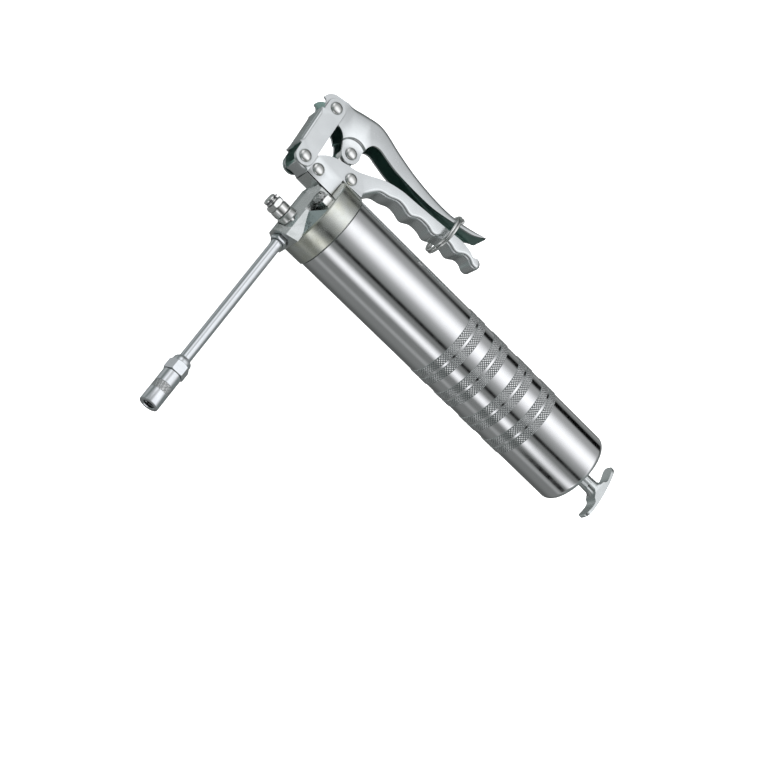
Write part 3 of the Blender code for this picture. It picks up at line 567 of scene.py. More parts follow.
def cheek_faces(outline, dents):
    """Triangles that fill a cheek's outline, with rings of points round each dent."""
    points = [Vector(p) for p in outline]
    edges = []
    face = list(range(len(points)))
    for centre, inner, outer, _ in dents:
        for step in range(DENT_RINGS):
            radius = inner + (outer - inner) * step / (DENT_RINGS - 1)
            first = len(points)
            points += [Vector(p) for p in circle(centre, radius, DENT_POINTS)]
            edges += [(first + k, first + (k + 1) % DENT_POINTS) for k in range(DENT_POINTS)]
    found, _, faces = delaunay_2d_cdt(points, edges, [face], 1, 1e-5)[:3]
    kept = []
    for triangle in faces:
        middle = sum((found[i] for i in triangle), Vector((0.0, 0.0))) / len(triangle)
        if contains(outline, middle):
            kept.append(tuple(triangle))
    return [(p.x, p.y) for p in found], kept


def dented(point, half, dents):
    """Height of a cheek's outer face at a point."""
    level = half
    for centre, inner, outer, depth in dents:
        away = hypot(point[0] - centre[0], point[1] - centre[1])
        t = min(max((outer - away) / (outer - inner), 0.0), 1.0)
        level -= depth * t * t * (3 - 2 * t)
    return level


def bend_along(points, inward, bend, run_out, first_left, last_left):
    """The inward normal and the bend's radius at each point of a web's edge."""
    lengths = [0.0]
    for a, b in zip(points, points[1:]):
        lengths.append(lengths[-1] + hypot(b[0] - a[0], b[1] - a[1]))
    normals = []
    radii = []
    for i, length in enumerate(lengths):
        before, after = points[max(i - 1, 0)], points[min(i + 1, len(points) - 1)]
        run = Vector((after[0] - before[0], after[1] - before[1])).normalized()
        normals.append(Vector((-run.y, run.x)) * inward)
        left = 1.0
        for run_up, taper, least in ((length, 1.5 * bend, first_left),
                                     (lengths[-1] - length, run_out, last_left)):
            t = min(run_up / taper, 1.0)
            left = min(left, least + (1 - least) * t * (2 - t))
        radii.append(bend * left)
    return normals, radii


def pressed_channel(name, stretches, half, dents=(), bend=BEND, run_out=4.5, rim=0.38):
    """Two cheeks and the webs between them, pressed from one sheet.

    stretches is the closed outline in turn, as ("web", points, first, last) or ("edge", points); a
    stretch starts at the point where the one before it ends. Only a web is bent over to the other
    cheek; first and last say how much of the bend's radius is left at its two ends. It tapers over
    1.5 times that radius at the first end and over run_out millimetres at the last.
    """
    outline = []
    webs = []
    for kind, points, *ends in stretches:
        if kind == "web":
            webs.append((len(outline), points, ends))
        outline += points[:-1]
    inward = 1.0 if signed_area(outline) > 0 else -1.0
    cheek = list(outline)
    bent = []
    for start, points, ends in webs:
        normals, radii = bend_along(points, inward, bend, run_out, *ends)
        bent.append((points, normals, radii))
        for i, point in enumerate(points):
            moved = Vector(point) + normals[i] * radii[i]
            cheek[(start + i) % len(cheek)] = (moved.x, moved.y)
    flat, triangles = cheek_faces(cheek, dents)
    vertices = []
    faces = []
    for side in (1, -1):
        first = len(vertices)
        vertices += [(x, y, side * dented((x, y), half, dents)) for x, y in flat]
        faces += [tuple(first + i for i in (t if side > 0 else reversed(t))) for t in triangles]
    for points, normals, radii in bent:
        rows = []
        for side in (1, -1):
            for step in range(BEND_STEPS)[::side]:
                turn = pi / 2 * step / (BEND_STEPS - 1)
                row = []
                for point, normal, radius in zip(points, normals, radii):
                    moved = Vector(point) + normal * radius * (1 - sin(turn))
                    row.append(len(vertices))
                    vertices.append((moved.x, moved.y, side * (half - radius * (1 - cos(turn)))))
                rows.append(row)
        for upper, lower in zip(rows, rows[1:]):
            for i in range(len(upper) - 1):
                faces.append((upper[i], upper[i + 1], lower[i + 1], lower[i]))
    piece = new_piece(name, vertices, faces, "zinc_sheet", 40, orient=False)
    stitch(piece, half)
    # the insides of the channels get the darker copy of the zinc: painted shade
    piece.data.materials.append(LOOKS["shaded_zinc_inside"])
    sheet = piece.modifiers.new("sheet", "SOLIDIFY")
    sheet.thickness = SHEET * MM
    sheet.offset = -1.0
    sheet.use_even_offset = False
    sheet.use_quality_normals = True
    sheet.material_offset = 1
    soften(piece, rim, 3, 50)
    return piece


def stitch(piece, half):
    """Joins the webs to the cheeks and turns every face outwards."""
    body = bmesh.new()
    body.from_mesh(piece.data)
    bmesh.ops.remove_doubles(body, verts=body.verts, dist=CLOSE)
    bmesh.ops.recalc_face_normals(body, faces=body.faces)
    body.faces.ensure_lookup_table()
    top = [f for f in body.faces if abs(f.calc_center_median().z - half * MM) < CLOSE]
    if sum(f.normal.z * f.calc_area() for f in top) < 0:
        bmesh.ops.reverse_faces(body, faces=body.faces)
    body.to_mesh(piece.data)
    body.free()
    shade(piece, 40)


# ---- barrel ----
KNURL_PAIRS = (134.0, 156.5, 181.5, 204.5)  # x of the middle of each pair of bands
KNURL_COUNT = 84  # grooves round the barrel


def make_barrel():
    """Rolled neck, four pairs of diamond-knurled bands, a rounded tail with a pressed ring."""
    wall = 1.2
    neck = BARREL_RADIUS - 1.8
    shoulder = CAP_JOINT + 0.5
    inner = BARREL_RADIUS - wall
    corner = 4.5
    corner_place = (BARREL_TAIL - corner, BARREL_RADIUS - corner)
    lip = 0.35
    profile = [(BARREL_NECK, neck - wall), (BARREL_NECK, neck), (shoulder, neck)]
    profile += arc((shoulder + lip, BARREL_RADIUS - lip), lip, 180, 90, 3)
    band, strip = 6.3, 1.5
    for middle in KNURL_PAIRS:
        for low in (middle - band - strip / 2, middle + strip / 2):
            profile += [(low - 0.25, BARREL_RADIUS),
                        ("knurl", low, low + band, BARREL_RADIUS, KNURL_COUNT, KNURL_HEIGHT),
                        (low + band + 0.25, BARREL_RADIUS)]
    profile += arc(corner_place, corner, 90, 0, 12)
    ring, hole = 15.0, 6.0
    profile += shifted(BARREL_TAIL, (0.0, ring + 2.0), (-0.6, ring + 1.2), (-0.6, ring), (0.0, ring - 0.8),
                       (0.0, hole + 0.2), (-0.3, hole), (-wall, hole), (-wall, inner - corner))
    profile += arc(corner_place, corner - wall, 0, 90, 6)
    profile += [(shoulder + 2.0, inner), (shoulder + 1.0, neck - wall)]
    barrel = turned("barrel_shell", profile, "X", segments=KNURL_SPLIT * KNURL_COUNT, look="nickel",
                    knurl_look="knurl")
    fit(barrel, "barrel", "barrel_tube")


def make_tail_bush():
    low, high = span("rod_guide_bush", X)
    profile = shifted(low, (0.0, 3.9), (0.0, 8.6), (0.4, 9.0), (2.7, 9.0), (2.7, 5.7))
    profile += shifted(high, (-0.4, 5.7), (0.0, 5.3), (0.0, 4.2), (-0.3, 3.9))
    bush = turned("tail_bush", profile, "X", segments=64, look="cast_zinc")
    fit(bush, "barrel", "rod_guide_bush")


def make_handle():
    """Bent crescent handle with rounded edges on a short fluted stem."""
    half = span("t_handle", Y)[1]
    end = span("t_handle", X)[1]
    width = span("t_handle", Z)[1]
    outer = flowing(shifted(end, (0.0, 0.0), (-0.3, 9.0), (-1.2, 17.0), (-2.3, half - 1.0)), 6)
    tip = arc((end - 3.4, half - 1.15), 1.1, 15, 165, 8)
    inner = flowing(shifted(end, (-4.5, half - 2.0), (-3.5, 17.0), (-2.7, 12.0), (-3.2, 8.8),
                            (-6.0, 6.6), (-9.6, 5.2), (-13.0, 4.6)), 5)
    edge = outer + tip + inner
    outline = edge + [(x, -y) for x, y in reversed(edge[1:])]
    wing = prism("handle_wing", outline, -width, width, look="handle_cast")
    side = arc((half - width, 0.0), width, -90, 90, 20)
    side += [(-y, -z) for y, z in side]
    keep_inside(wing, prism("rounded_ends", side, end - 20, end + 1, "X"))
    beyond = 60.0
    neck = shifted(end, (-14, 0.0), (-14, 5.15), (-8.5, 5.3), (-6.4, 6.4), (-5.4, 8.2), (-5.2, beyond),
                   (1, beyond), (1, 0.0))
    keep_inside(wing, turned("neck", neck, "X"))
    soften(wing, 0.85, 4, 30)
    fit(wing, "rod", "t_handle")
    profile = shifted(BARREL_TAIL + 1.6, (0.0, 0.0), (0.0, 4.8), (0.4, 5.15))
    profile += shifted(end, (-7.0, 5.15), (-4.0, 4.2), (-2.2, 2.0), (-1.8, 0.0))
    stem = turned("handle_stem", profile, "X", segments=120, look="handle_cast",
                  flutes=((128, 13, 0.17), (92, 5, 0.04), (308, 13, 0.17), (38, 13, 0.14), (218, 13, 0.14)))
    fit(stem, "rod")


# ---- head ----
def make_cap():
    """Flat face, rounded rim and the skirt over the barrel's neck."""
    rim = 1.3
    inner, floor = 26.8, 12.4
    profile = [(CAP_FACE, 0.0), (CAP_FACE, CAP_RADIUS - rim)]
    profile += arc((CAP_FACE + rim, CAP_RADIUS - rim), rim, 180, 90, 6)[1:]
    profile += [(CAP_JOINT - 0.4, CAP_RADIUS), (CAP_JOINT, CAP_RADIUS - 0.4), (CAP_JOINT, inner),
                (floor, inner), (floor, 0.0)]
    cap = turned("head_cap", profile, "X", segments=192, look="cap_cast")
    fit(cap, "head", "head_casting")


def make_ramp():
    """Shallow cone from the pump block out to the cap's rim, on the outlet side."""
    rim = CAP_RADIUS - 1.3
    # the ramp takes the darker copy of the casting's finish: painted shade
    cone = turned("head_ramp", [(1.0, 0.0), (1.0, 12.4), (CAP_FACE, rim), (CAP_FACE + 1.0, rim - 0.4),
                                (CAP_FACE + 1.0, 0.0)], "X", segments=160, look="shaded_ramp_cast")
    keep_inside(cone, box((-10, -40, -40), (20, -7.0, 40)))
    soften(cone, 0.4)
    fit(cone, "head")


def make_block():
    """Pump block: flanks that slope in to a narrow front, and seats for its fittings."""
    upper = [(7.2, 13.0), (6.4, 13.0), (-0.9, 9.5)]
    corner = arc((-5.6, 2.45), 2.4, 130, 180, 6)
    side = upper + corner
    section = side + [(x, -z) for x, z in reversed(side)]
    block = prism("head_block", section, BLOCK_BOTTOM, BLOCK_TOP, "Y", look="cast_zinc")
    outline = [(-8.5, -32), (10, -32), (10, BLOCK_TOP)]
    outline += arc((-2.0, BLOCK_TOP - 6.0), 6.0, 90, 180, 10) + [(-8.5, BLOCK_TOP - 6.0)]
    keep_inside(block, prism("side", outline, -20, 20))
    cut(block, box((-1.6, -7.0, 8.8), (7.2, BLOCK_TOP + 2, 31)))
    filler_seat = [(-12, 0.0), (-12, 7.4), (-4.4, 7.4), (-4.4, 3.3), (-2.1, 3.3), (-2.1, 0.0)]
    cut(block, turned("filler_seat", filler_seat, "X", FILLER, 64))
    outlet_seat = [(-33, 0.0), (-33, 5.4), (-27, 5.4), (-27, 3.0), (-21, 3.0), (-21, 0.0)]
    cut(block, turned("outlet_seat", outlet_seat, "Y", segments=64))
    facet_angle = 12
    shade(block, facet_angle)
    soften(block, 0.35, 3, facet_angle)
    fit(block, "head")


def make_lug():
    """Lug that the grip is riveted to, bored for the plunger."""
    outline = [(-15.0, 15.8), (-4.5, 15.8), (-4.5, 12.0), (9.0, 12.0), (9.0, 27.2), (15.6, 27.2),
               (15.6, 37.0)]
    outline += arc((11.0, 35.2), 4.6, 20, 110, 5)
    outline += [(7.6, 38.5), (-7.4, 38.5), (-15.0, 26.4)]
    lug = prism("head_lug", outline, -6.1, 6.1, look="cast_zinc")
    cut(lug, bore(15, 45, 5.1, 48))
    soften(lug, 0.5)
    fit(lug, "head")


# ---- fittings ----
def hex_nut(name, centre, flats, low, high, axis, look, turn):
    """A hexagon with its corners turned off at the ends."""
    nut = prism(name, hexagon(centre, flats, turn), low, high, axis, look)
    corner = flats / sqrt(3) + 0.4
    inner = flats / 2 - 0.1
    slope = 0.577
    drop = (corner - inner) * slope
    low_end = [(low - 0.1, 0.0), (low - 0.1, inner), (low + drop, corner)]
    high_end = [(high - drop, corner), (high + 0.1, inner), (high + 0.1, 0.0)]
    keep_inside(nut, turned("turned_corners", low_end + high_end, axis, centre))
    soften(nut, 0.15, 2)
    return nut


def make_filler():
    """Bulk filler: collar, hexagon, and a flanged nipple with its clip."""
    seat = -4.7
    tip = span("filler_nipple", X)[0]
    front = span("filler_body", X)[0]
    waist = front + 3.7
    rear = -9.4
    profile = [(-2.4, 2.0), (-2.4, 3.0), (seat, 3.0), (seat, 6.8), (seat - 0.4, 7.15)]
    profile += shifted(rear, (1.0, 6.7), (0.4, 6.5), (0.0, 6.0), (0.0, 2.0))
    collar = turned("filler_collar", profile, "X", FILLER)
    fit(collar, "head", "filler_body")
    profile = shifted(waist, (-0.4, 2.0), (-0.4, 5.3), (0.0, 5.5), (0.5, 6.1))
    profile += shifted(rear, (-1.0, 6.15), (-0.5, 5.9), (-0.2, 5.4), (-0.2, 2.0))
    body = turned("filler_barrel", profile, "X", FILLER)
    neck = hex_nut("filler_hexagon", FILLER, 11.6, front, waist - 0.3, "X", "bright_steel", 8)
    for piece in (body, neck):
        fit(piece, "head")
    profile = shifted(front, (0.3, 1.3), (0.3, 3.2), (-0.3, 3.4), (-0.5, 4.2), (-0.7, 4.4), (-1.1, 4.4),
                      (-1.4, 4.1), (-1.6, 3.3), (-2.3, 3.3), (-2.5, 4.1), (-2.8, 4.5), (-3.6, 4.5))
    profile += shifted(tip, (0.4, 4.1), (0.0, 3.4), (0.0, 2.0), (0.6, 1.6), (0.8, 1.3))
    nipple = turned("filler_flanges", profile, "X", FILLER)
    fit(nipple, "head", "filler_nipple")
    groove = front - 1.95
    loop = [(groove + 0.1 * sin(3 * a), FILLER[0] + 3.7 * cos(a), FILLER[1] + 3.7 * sin(a))
            for a in (radians(-250 + 290 * i / 40) for i in range(41))]
    tail = Vector(loop[-1])
    loop += [tuple(tail + Vector((-0.1, 0.6, 0.1)) * step) for step in (1, 2, 3)]
    clip = wire("filler_clip", loop, 0.5, 10, "spring_steel", (groove, *FILLER))
    fit(clip, "head")


def make_bleed_valve():
    """Bleed valve in the head's pocket: hexagon body and a knurled, slotted screw."""
    front = 2.2
    body = hex_nut("bleed_hexagon", BLEED, 10.4, front, 6.9, "X", "bright_steel", 10)
    fit(body, "head", "bleed_valve_body")
    count = 20
    radius = 4.1
    profile = shifted(front, (0.4, 0.0), (0.4, 3.0), (-0.3, 3.0), (-0.5, 3.8), (-0.8, radius))
    profile += [("knurl", front - 0.9, front - 3.6, radius, count, 0.3), (front - 3.7, radius),
                (-2.4, 3.5), (-2.4, 0.0)]
    head = turned("bleed_knob", profile, "X", BLEED, KNURL_SPLIT * count, knurl_look="knurl")
    cut(head, box((-4, BLEED[0] - 0.55, BLEED[1] - 6), (-1.2, BLEED[0] + 0.55, BLEED[1] + 6)))
    fit(head, "bleed_screw", "bleed_screw")


def make_outlet():
    """Gland nut under the block, and the pipe with the swelling below it."""
    nut = hex_nut("gland_nut", (0.0, 0.0), 10.2, NUT_LOW + 0.7, BLOCK_BOTTOM - 0.1, "Y", "zinc_pipe", 0)
    cut(nut, bore(-40, -20, 4.2, 64))
    fit(nut, "head", "outlet_nut")
    inner = 1.6
    radius = 3.9
    swell = 4.15
    profile = [(PIPE_HIGH, inner), (PIPE_HIGH, 3.6), (PIPE_HIGH - 0.3, radius), (-34.6, radius),
               (-34.8, swell - 0.1), (-35.1, swell), (-36.4, swell), (-38.0, radius + 0.1),
               (-40.0, radius), (PIPE_LOW, radius), (PIPE_LOW, inner)]
    pipe = turned("pipe", profile, "Y", look="zinc_pipe")
    fit(pipe, "head", "outlet_pipe")


def make_coupler():
    """Hexagon body with a turned shoulder, sleeve with a fine knurled band, jaws in the mouth."""
    top = span("coupler_body", Y)[1]
    hex_low = SLEEVE_HIGH + SLEEVE_GAP
    body = prism("coupler_hexagon", hexagon((0.0, 0.0), 12.9, 0), hex_low, top, "Y", "zinc_pipe")
    neck = top - 4.4
    shoulder = shifted(hex_low, (-0.1, 0.0), (-0.1, 6.6), (0.5, 7.6))
    shoulder += shifted(neck, (-1.1, 7.6), (0.0, 6.2))
    shoulder += [(neck + 1.6 + 2.4 * sin(radians(a)), 4.4 + 1.75 * cos(radians(a))) for a in (0, 25, 50, 75)]
    shoulder += [(top, 4.6), (top, 0.0)]
    keep_inside(body, turned("shoulder", shoulder, "Y"))
    cut(body, bore(PIPE_LOW, top + 2, 4.2, 96))
    soften(body, 0.12, 2)
    fit(body, "head", "coupler_body")
    count = 32
    radius = SLEEVE_RADIUS
    mouth = 3.7
    band_low, band_high = -166.2, -160.2
    profile = shifted(SLEEVE_HIGH, (0.0, 5.1), (0.0, radius - 0.3), (-0.3, radius))
    profile += [(band_high + 0.1, radius), (band_high, radius - 0.2),
                ("knurl", band_high - 0.1, band_low + 0.1, radius - 0.25, count, 0.22),
                (band_low, radius - 0.2), (band_low - 0.1, radius)]
    profile += shifted(SLEEVE_LOW, (0.5, radius), (0.15, radius - 0.12), (0.0, radius - 0.5),
                       (0.0, mouth + 0.4), (0.4, mouth), (2.2, mouth), (4.4, 5.1))
    sleeve = turned("coupler_shell", profile, "Y", segments=KNURL_SPLIT * count, look="zinc_pipe",
                    knurl_look="knurl")
    fit(sleeve, "coupler_sleeve", "coupler_sleeve")
    low, high = SLEEVE_LOW + 2.6, SLEEVE_LOW + 9.0
    profile = [(low, 3.15), (low, 3.5), (low + 2.0, 4.7), (high, 4.7), (high, 3.5), (low + 2.2, 3.5),
               (low + 1.4, 3.15)]
    jaw_half = radians(54)
    for number in range(3):
        jaw = turned(f"jaw_{number + 1}", profile, "Y", segments=90)
        middle = tau * number / 3 + pi / 2
        wedge = [(0.0, 0.0)] + [(12 * cos(middle + turn), 12 * sin(middle + turn))
                                for turn in (-jaw_half, 0.0, jaw_half)]
        keep_inside(jaw, prism("wedge", wedge, low - 1, high + 1, "Y"))
        soften(jaw, 0.1, 2)
        fit(jaw, "coupler_sleeve", f"coupler_jaw_{number + 1}")


# ---- plunger ----
def make_plunger():
    """Tang with a slot for the lever's rivet, on a turned stem."""
    low = span("plunger", Y)[0]
    outline = [(-4.2, 40.0), (4.2, 40.0)] + arc(RIVET_E, 6.2, -42, 222, 24)
    tang = prism("plunger_tang", outline, -4.7, 4.7, look="bright_steel")
    reach, end = 1.2, 3.1
    slot = arc((reach, RIVET_E[1]), end, -90, 90, 12) + arc((-reach, RIVET_E[1]), end, 90, 270, 12)
    cut(tang, prism("slot", slot, -8, 8))
    soften(tang, 0.4)
    fit(tang, "plunger", "plunger")
    profile = [(low, 0.0), (low, 3.0), (low + 0.3, 3.3), (32.0, 3.3), (32.0, 4.5), (32.3, 4.75),
               (36.7, 4.75), (37.0, 4.4), (37.2, 4.1), (40.8, 4.1), (41.4, 3.5), (41.4, 0.0)]
    stem = turned("plunger_stem", profile, "Y", segments=64)
    fit(stem, "plunger")


# ---- handles ----
def make_grip():
    """Fixed grip: finger hollows in its web, a curled tip and an open nose."""
    under = 15.7
    nose = arc(RIVET_A, 6.4, 50, 240, 18)
    nose_web = [(-25.4, under), (-22.0, under), (-18.6, under), (-15.5, under)]
    finger_web = flowing([
        (23.6, 31.0), (25.4, 36.4), (30.6, 43.6), (38.0, 46.2), (44.5, 49.3), (50.0, 49.3),
        (57.0, 47.8), (64.0, 51.6), (71.0, 51.9), (77.5, 50.4), (85.0, 54.2), (91.5, 54.6),
        (98.0, 53.2), (104.5, 57.2), (109.0, 57.4), (112.4, 55.5), (115.6, 55.3), (118.1, 57.0),
        (118.9, 60.0), (117.6, 62.6), (115.2, 63.3),
    ])
    top = flowing([
        (115.2, 63.3), (112.8, 62.4), (111.0, 61.4), (109.0, 61.6), (106.0, 63.0), (97.8, 64.0),
        (84.0, 62.4), (72.0, 61.0), (61.0, 59.8), (52.4, 58.9), (43.5, 58.0), (34.5, 55.8),
        (27.3, 53.0), (19.3, 48.2), (10.8, 43.6), (2.2, 41.2), (-8.3, 37.6), (-14.0, 33.2), nose[0],
    ], 4)
    grip = pressed_channel("grip_channel", [
        ("edge", nose + [nose_web[0]]),
        ("web", flowing(nose_web, 4), 0.0, 0.0),
        ("edge", [nose_web[-1], (6.4, under), (6.4, 30.2), (23.0, 30.6), finger_web[0]]),
        ("web", finger_web, 0.15, 0.55),
        ("edge", top),
    ], GRIP_HALF)
    fit(grip, "head", "fixed_grip")


EYE_DEPTH = 1.4  # how far the lever's eyes are set inwards


def make_lever():
    """Upper lever: beaked front cheeks, eyes set inwards over the plunger, long tapered tail."""
    hook = flowing([
        (-31.6, 60.2), (-33.6, 62.6), (-34.8, 65.2), (-36.0, 66.5), (-37.7, 67.0), (-37.9, 68.2),
        (-37.2, 70.2), (-35.8, 72.4), (-32.8, 74.8), (-28.9, 75.8), (-25.2, 76.6), (-21.5, 77.8),
    ], 4)
    back = flowing([
        (-21.5, 77.8), (-13.5, 80.8), (-5.7, 83.2), (1.6, 85.1), (7.6, 85.1), (14.4, 83.7),
        (23.4, 81.0), (34.8, 78.3), (45.7, 76.3), (57.4, 75.0), (71.0, 74.4), (82.5, 75.0),
        (95.0, 76.8), (110.2, 80.4),
    ], 5)
    under = flowing([
        (110.2, 80.4), (107.6, 78.4), (99.6, 73.8), (84.0, 69.8), (68.7, 66.3), (57.3, 65.4),
        (43.2, 65.3), (30.9, 65.9), (20.1, 67.9), (13.4, 69.2), (8.6, 67.6), (6.2, 63.4), (5.6, 57.6),
        (7.0, 51.9),
    ], 5)
    lobe = arc(RIVET_E, 7.2, 10, -165, 20)
    front = flowing([lobe[-1], (-8.8, 51.8), (-11.1, 54.4), (-14.5, 57.4), (-19.0, 58.8), (-26.0, 58.0),
                     (-31.6, 60.2)], 5)
    lever = pressed_channel("lever_channel", [
        ("edge", hook),
        ("web", back, 0.3, 0.0),
        ("edge", under[:-1] + lobe),
        ("edge", front),
    ], LEVER_HALF, dents=[(RIVET_E, 9.9, 11.6, EYE_DEPTH)], bend=4.2, run_out=38.0)
    fit(lever, "lever", "upper_lever")


def make_link():
    """Toggle link: two round-ended plates and the web across their outer edge."""
    start = Vector(RIVET_A)
    along = Vector(RIVET_D) - start
    length = along.length
    along.normalize()
    across = Vector((-along.y, along.x))
    end = 6.7
    face = 8.8
    low, high = 6.2, length - 6.4

    def placed(points):
        return [tuple(start + along * u + across * v) for u, v in points]

    round_end = arc((0.0, 0.0), end, 98, 270, 16) + arc((length, 0.0), end, 270, 442, 16)
    to_web = [round_end[-1], (high + 0.4, end), (high, end + 0.6), (high, face)]
    web = [(high + (low - high) * i / 24, face) for i in range(25)]
    to_start = [(low, face), (low, end + 0.6), (low - 0.4, end), round_end[0]]
    link = pressed_channel("link_channel", [
        ("edge", placed(round_end)),
        ("edge", placed(to_web)),
        ("web", placed(web), 0.0, 0.0),
        ("edge", placed(to_start)),
    ], LINK_HALF, rim=0.6)
    fit(link, "link", "link")


# Node, place, face of the cheek that the heads lie on, and body.
RIVETS = (
    ("rivet_link_grip", RIVET_A, LINK_HALF, "head"),
    ("rivet_grip_front", RIVET_B, GRIP_HALF, "head"),
    ("rivet_grip_back", RIVET_C, GRIP_HALF, "head"),
    ("rivet_link_lever", RIVET_D, LINK_HALF, "link"),
    ("rivet_plunger", RIVET_E, LEVER_HALF - EYE_DEPTH, "lever"),
)


def make_rivets():
    """Domed heads with a small rim, formed over both cheeks."""
    radius, height, rim = 4.35, 2.1, 0.2
    for node, place, face, body in RIVETS:
        base = face + 0.05
        half = [(base, 2.7), (base, radius - 0.15), (base + rim, radius)]
        half += [(base + rim + (height - rim) * sin(radians(a)), radius * cos(radians(a)))
                 for a in range(10, 90, 10)]
        half.append((base + height, 0.0))
        profile = [(-along, r) for along, r in reversed(half)] + half
        rivet = turned(f"{node}_head", profile, "Z", place, 56)
        fit(rivet, body, node)


def make_lock_ring():
    """Split ring of two close turns of wire, its ends cut square."""
    middle = Vector((*hub("lock_ring", X, Y), 0.0))
    low, high = span("lock_ring", Z)
    thick = 0.95
    radius = (high - low) / 2 - thick
    steps = 72
    turns = 2
    pitch = 2.1
    points = []
    for i in range(turns * steps + 1):
        angle = tau * i / steps + pi / 3
        along = middle.x + pitch * (i / steps - turns / 2)
        points.append((along, middle.y + radius * cos(angle), radius * sin(angle)))
    ring = wire("ring_wire", points, thick, 14, "bright_steel", middle)
    fit(ring, "lock_ring", "lock_ring")


def dress_hidden_nodes():
    """Finishes for the CAD nodes that stay: springs, balls, seals and the follower."""
    slots = {item["node"]: item["material_slot"] for item in frame["record"]["subparts"]}
    for name, node in frame["nodes"].items():
        if node.hide_render:
            continue
        node.data.materials[0] = LOOKS[slots[name]]
        shade(node, 40)


# ---- stage ----
# Studio round the barrel's axis: angle from +Y towards +Z, half width and gain of each light or flag.
AMBIENT = 0.191
SOFTBOXES = (
    (72.5, 36.3, 0.90),
    (162.9, 18.8, 0.84),
    (39.1, 40.8, 0.17),
    (97.2, 31.2, 0.21),
    (9.8, 16.0, -0.19),
    (130.6, 9.0, -0.20),
    (-154.3, 11.3, 0.14),
    (-92.3, 37.7, -0.09),
    (-19.3, 9.0, 0.12),
)
# Ends of the softboxes along the barrel, as the X part of a direction: dark, lit, lit, dark.
SOFTBOX_ENDS = (-0.46, 0.02, 0.60, 0.95)
# Lamps and dark flags towards the ends: X part and half width, angle and half width, gain.
END_LAMPS = (
    (-0.57, 0.37, 52.0, 50.0, 0.84),
    (-0.86, 0.30, -40.0, 55.0, 0.24),
    (-0.90, 0.14, 100.0, 60.0, 0.35),
    (0.86, 0.24, 80.0, 50.0, 0.35),
    (-0.50, 0.30, -85.0, 45.0, 0.25),
    (0.42, 0.06, -170.0, 9.0, -1.0),
    (0.40, 0.16, 9.8, 13.0, -0.55),
    (0.42, 0.07, 160.0, 14.0, -0.42),
)
SIDE_AMBIENT = 0.20
SHADOW_TINT = (0.95, 1.0, 0.985)
END_TINT = (0.85, 1.0, 0.97)
BACKDROP = (0.90, 0.91, 0.91)
LIGHT_TINT = (0.985, 1.0, 1.02)


def falloff(nodes, value, centre, half, gain, wrap=None):
    """A smooth bump of a value round a centre."""
    away = nodes.maths("ABSOLUTE", nodes.maths("SUBTRACT", value, centre))
    if wrap:
        away = nodes.maths("MINIMUM", away, nodes.maths("SUBTRACT", wrap, away))
    return nodes.mapped(away, 0.0, half, gain, 0.0)


def make_world():
    """Long softboxes round the barrel's axis, with lamps and dark flags towards its ends.

    Only reflections and lit surfaces see it. The camera itself sees a plain pale backdrop.
    """
    world = bpy.data.worlds.new("studio")
    bpy.context.scene.world = world
    world.use_nodes = True
    nodes = Nodes(world.node_tree)
    background = world.node_tree.nodes["Background"]
    direction = nodes.add("ShaderNodeTexCoord").outputs["Generated"]
    parts = nodes.add("ShaderNodeSeparateXYZ")
    nodes.link(direction, parts.inputs[0])
    along = parts.outputs["X"]
    angle = nodes.maths("MULTIPLY", nodes.maths("ARCTAN2", parts.outputs["Z"], parts.outputs["Y"]), 180 / pi)
    boxes = AMBIENT
    for centre, half, gain in SOFTBOXES:
        boxes = nodes.maths("ADD", boxes, falloff(nodes, angle, centre, half, gain, 360.0))
    boxes = nodes.maths("MAXIMUM", boxes, 0.0)
    dark_low, lit_low, lit_high, dark_high = SOFTBOX_ENDS
    within = nodes.maths("MULTIPLY", nodes.mapped(along, dark_low, lit_low, 0.0, 1.0),
                         nodes.mapped(along, lit_high, dark_high, 1.0, 0.0))
    boxes = nodes.maths("MULTIPLY", boxes, within)
    ends = nodes.maths("MULTIPLY", nodes.maths("SUBTRACT", 1.0, within), SIDE_AMBIENT)
    for x_centre, x_half, centre, half, gain in END_LAMPS:
        lamp = nodes.maths("MULTIPLY", falloff(nodes, along, x_centre, x_half, 1.0),
                           falloff(nodes, angle, centre, half, gain, 360.0))
        ends = nodes.maths("ADD", ends, lamp)
    total = nodes.maths("MAXIMUM", nodes.maths("ADD", boxes, ends), 0.0)
    shadow = nodes.mixed(within, END_TINT, SHADOW_TINT)
    tint = nodes.mixed(nodes.mapped(total, 0.05, 0.55, 0.0, 1.0), shadow, LIGHT_TINT)
    seen = nodes.add("ShaderNodeLightPath").outputs["Is Camera Ray"]
    unseen = nodes.maths("SUBTRACT", 1.0, seen)
    strength = nodes.maths("ADD", seen, nodes.maths("MULTIPLY", total, unseen))
    nodes.link(nodes.mixed(seen, tint, BACKDROP), background.inputs["Color"])
    nodes.link(strength, background.inputs["Strength"])


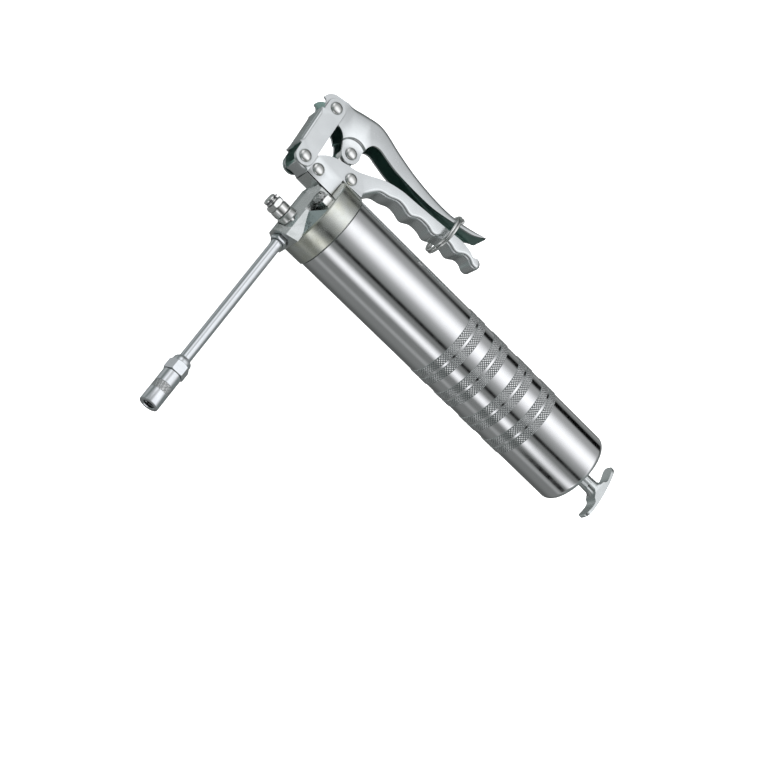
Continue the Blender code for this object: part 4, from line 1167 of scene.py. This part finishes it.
def make_lamp():
    """A round lamp above the gun that leaves no highlight on it."""
    place = Vector((0.1, -0.3, 1.6))
    light = bpy.data.lights.new("overhead", "AREA")
    light.shape = "DISK"
    light.size = 1.6
    light.energy = 30.0
    holder = bpy.data.objects.new("overhead", light)
    holder.location = place
    holder.rotation_euler = (-place).to_track_quat("-Z", "Y").to_euler()
    holder.visible_glossy = False
    bpy.context.collection.objects.link(holder)


FLOOR_DROP = 0.16  # how far the floor lies under the gun
FLOOR_GLOW = 0.62  # light of its own, as of a backlit table


def make_floor():
    """A pale floor that keeps out of the metal's reflections."""
    level = cad_bounds[0].z - FLOOR_DROP
    size = 6.0
    corners = [(-size, -size, level), (size, -size, level), (size, size, level), (-size, size, level)]
    mesh = bpy.data.meshes.new("floor")
    mesh.from_pydata(corners, [], [(0, 1, 2, 3)])
    floor = bpy.data.objects.new("floor", mesh)
    bpy.context.collection.objects.link(floor)
    _, shader = new_look("pale_floor")
    for name, value in (("Base Color", (0.93, 0.93, 0.93, 1.0)), ("Roughness", 0.9),
                        ("Emission Color", (1.0, 1.0, 1.0, 1.0)), ("Emission Strength", FLOOR_GLOW)):
        shader.inputs[name].default_value = value
    mesh.materials.append(LOOKS["pale_floor"])
    floor.visible_glossy = False


VIEW_FROM = Vector((-0.1368, -0.4992, 0.7756))  # camera's place from the pump
VIEW_ALONG = Vector((0.2687, 0.4785, -0.8360))
VIEW_UP = Vector((-0.6652, 0.7199, 0.1983))
LENS = 66.75


def make_camera():
    data = bpy.data.cameras.new("camera")
    data.lens = LENS
    data.sensor_width = 36.0
    data.clip_start = 0.01
    camera = bpy.data.objects.new("camera", data)
    back = -VIEW_ALONG.normalized()
    right = VIEW_UP.cross(back).normalized()
    up = back.cross(right)
    turn = Matrix((right, up, back)).transposed().to_4x4()
    camera.matrix_world = Matrix.Translation(PUMP + VIEW_FROM) @ turn
    bpy.context.collection.objects.link(camera)
    bpy.context.scene.camera = camera


make_barrel()
make_tail_bush()
make_handle()
make_cap()
make_ramp()
make_block()
make_lug()
make_filler()
make_bleed_valve()
make_outlet()
make_coupler()
make_plunger()
make_grip()
make_lever()
make_link()
make_rivets()
make_lock_ring()
dress_hidden_nodes()
make_world()
make_floor()
make_lamp()
make_camera()
bpy.context.scene.view_settings.view_transform = "Standard"
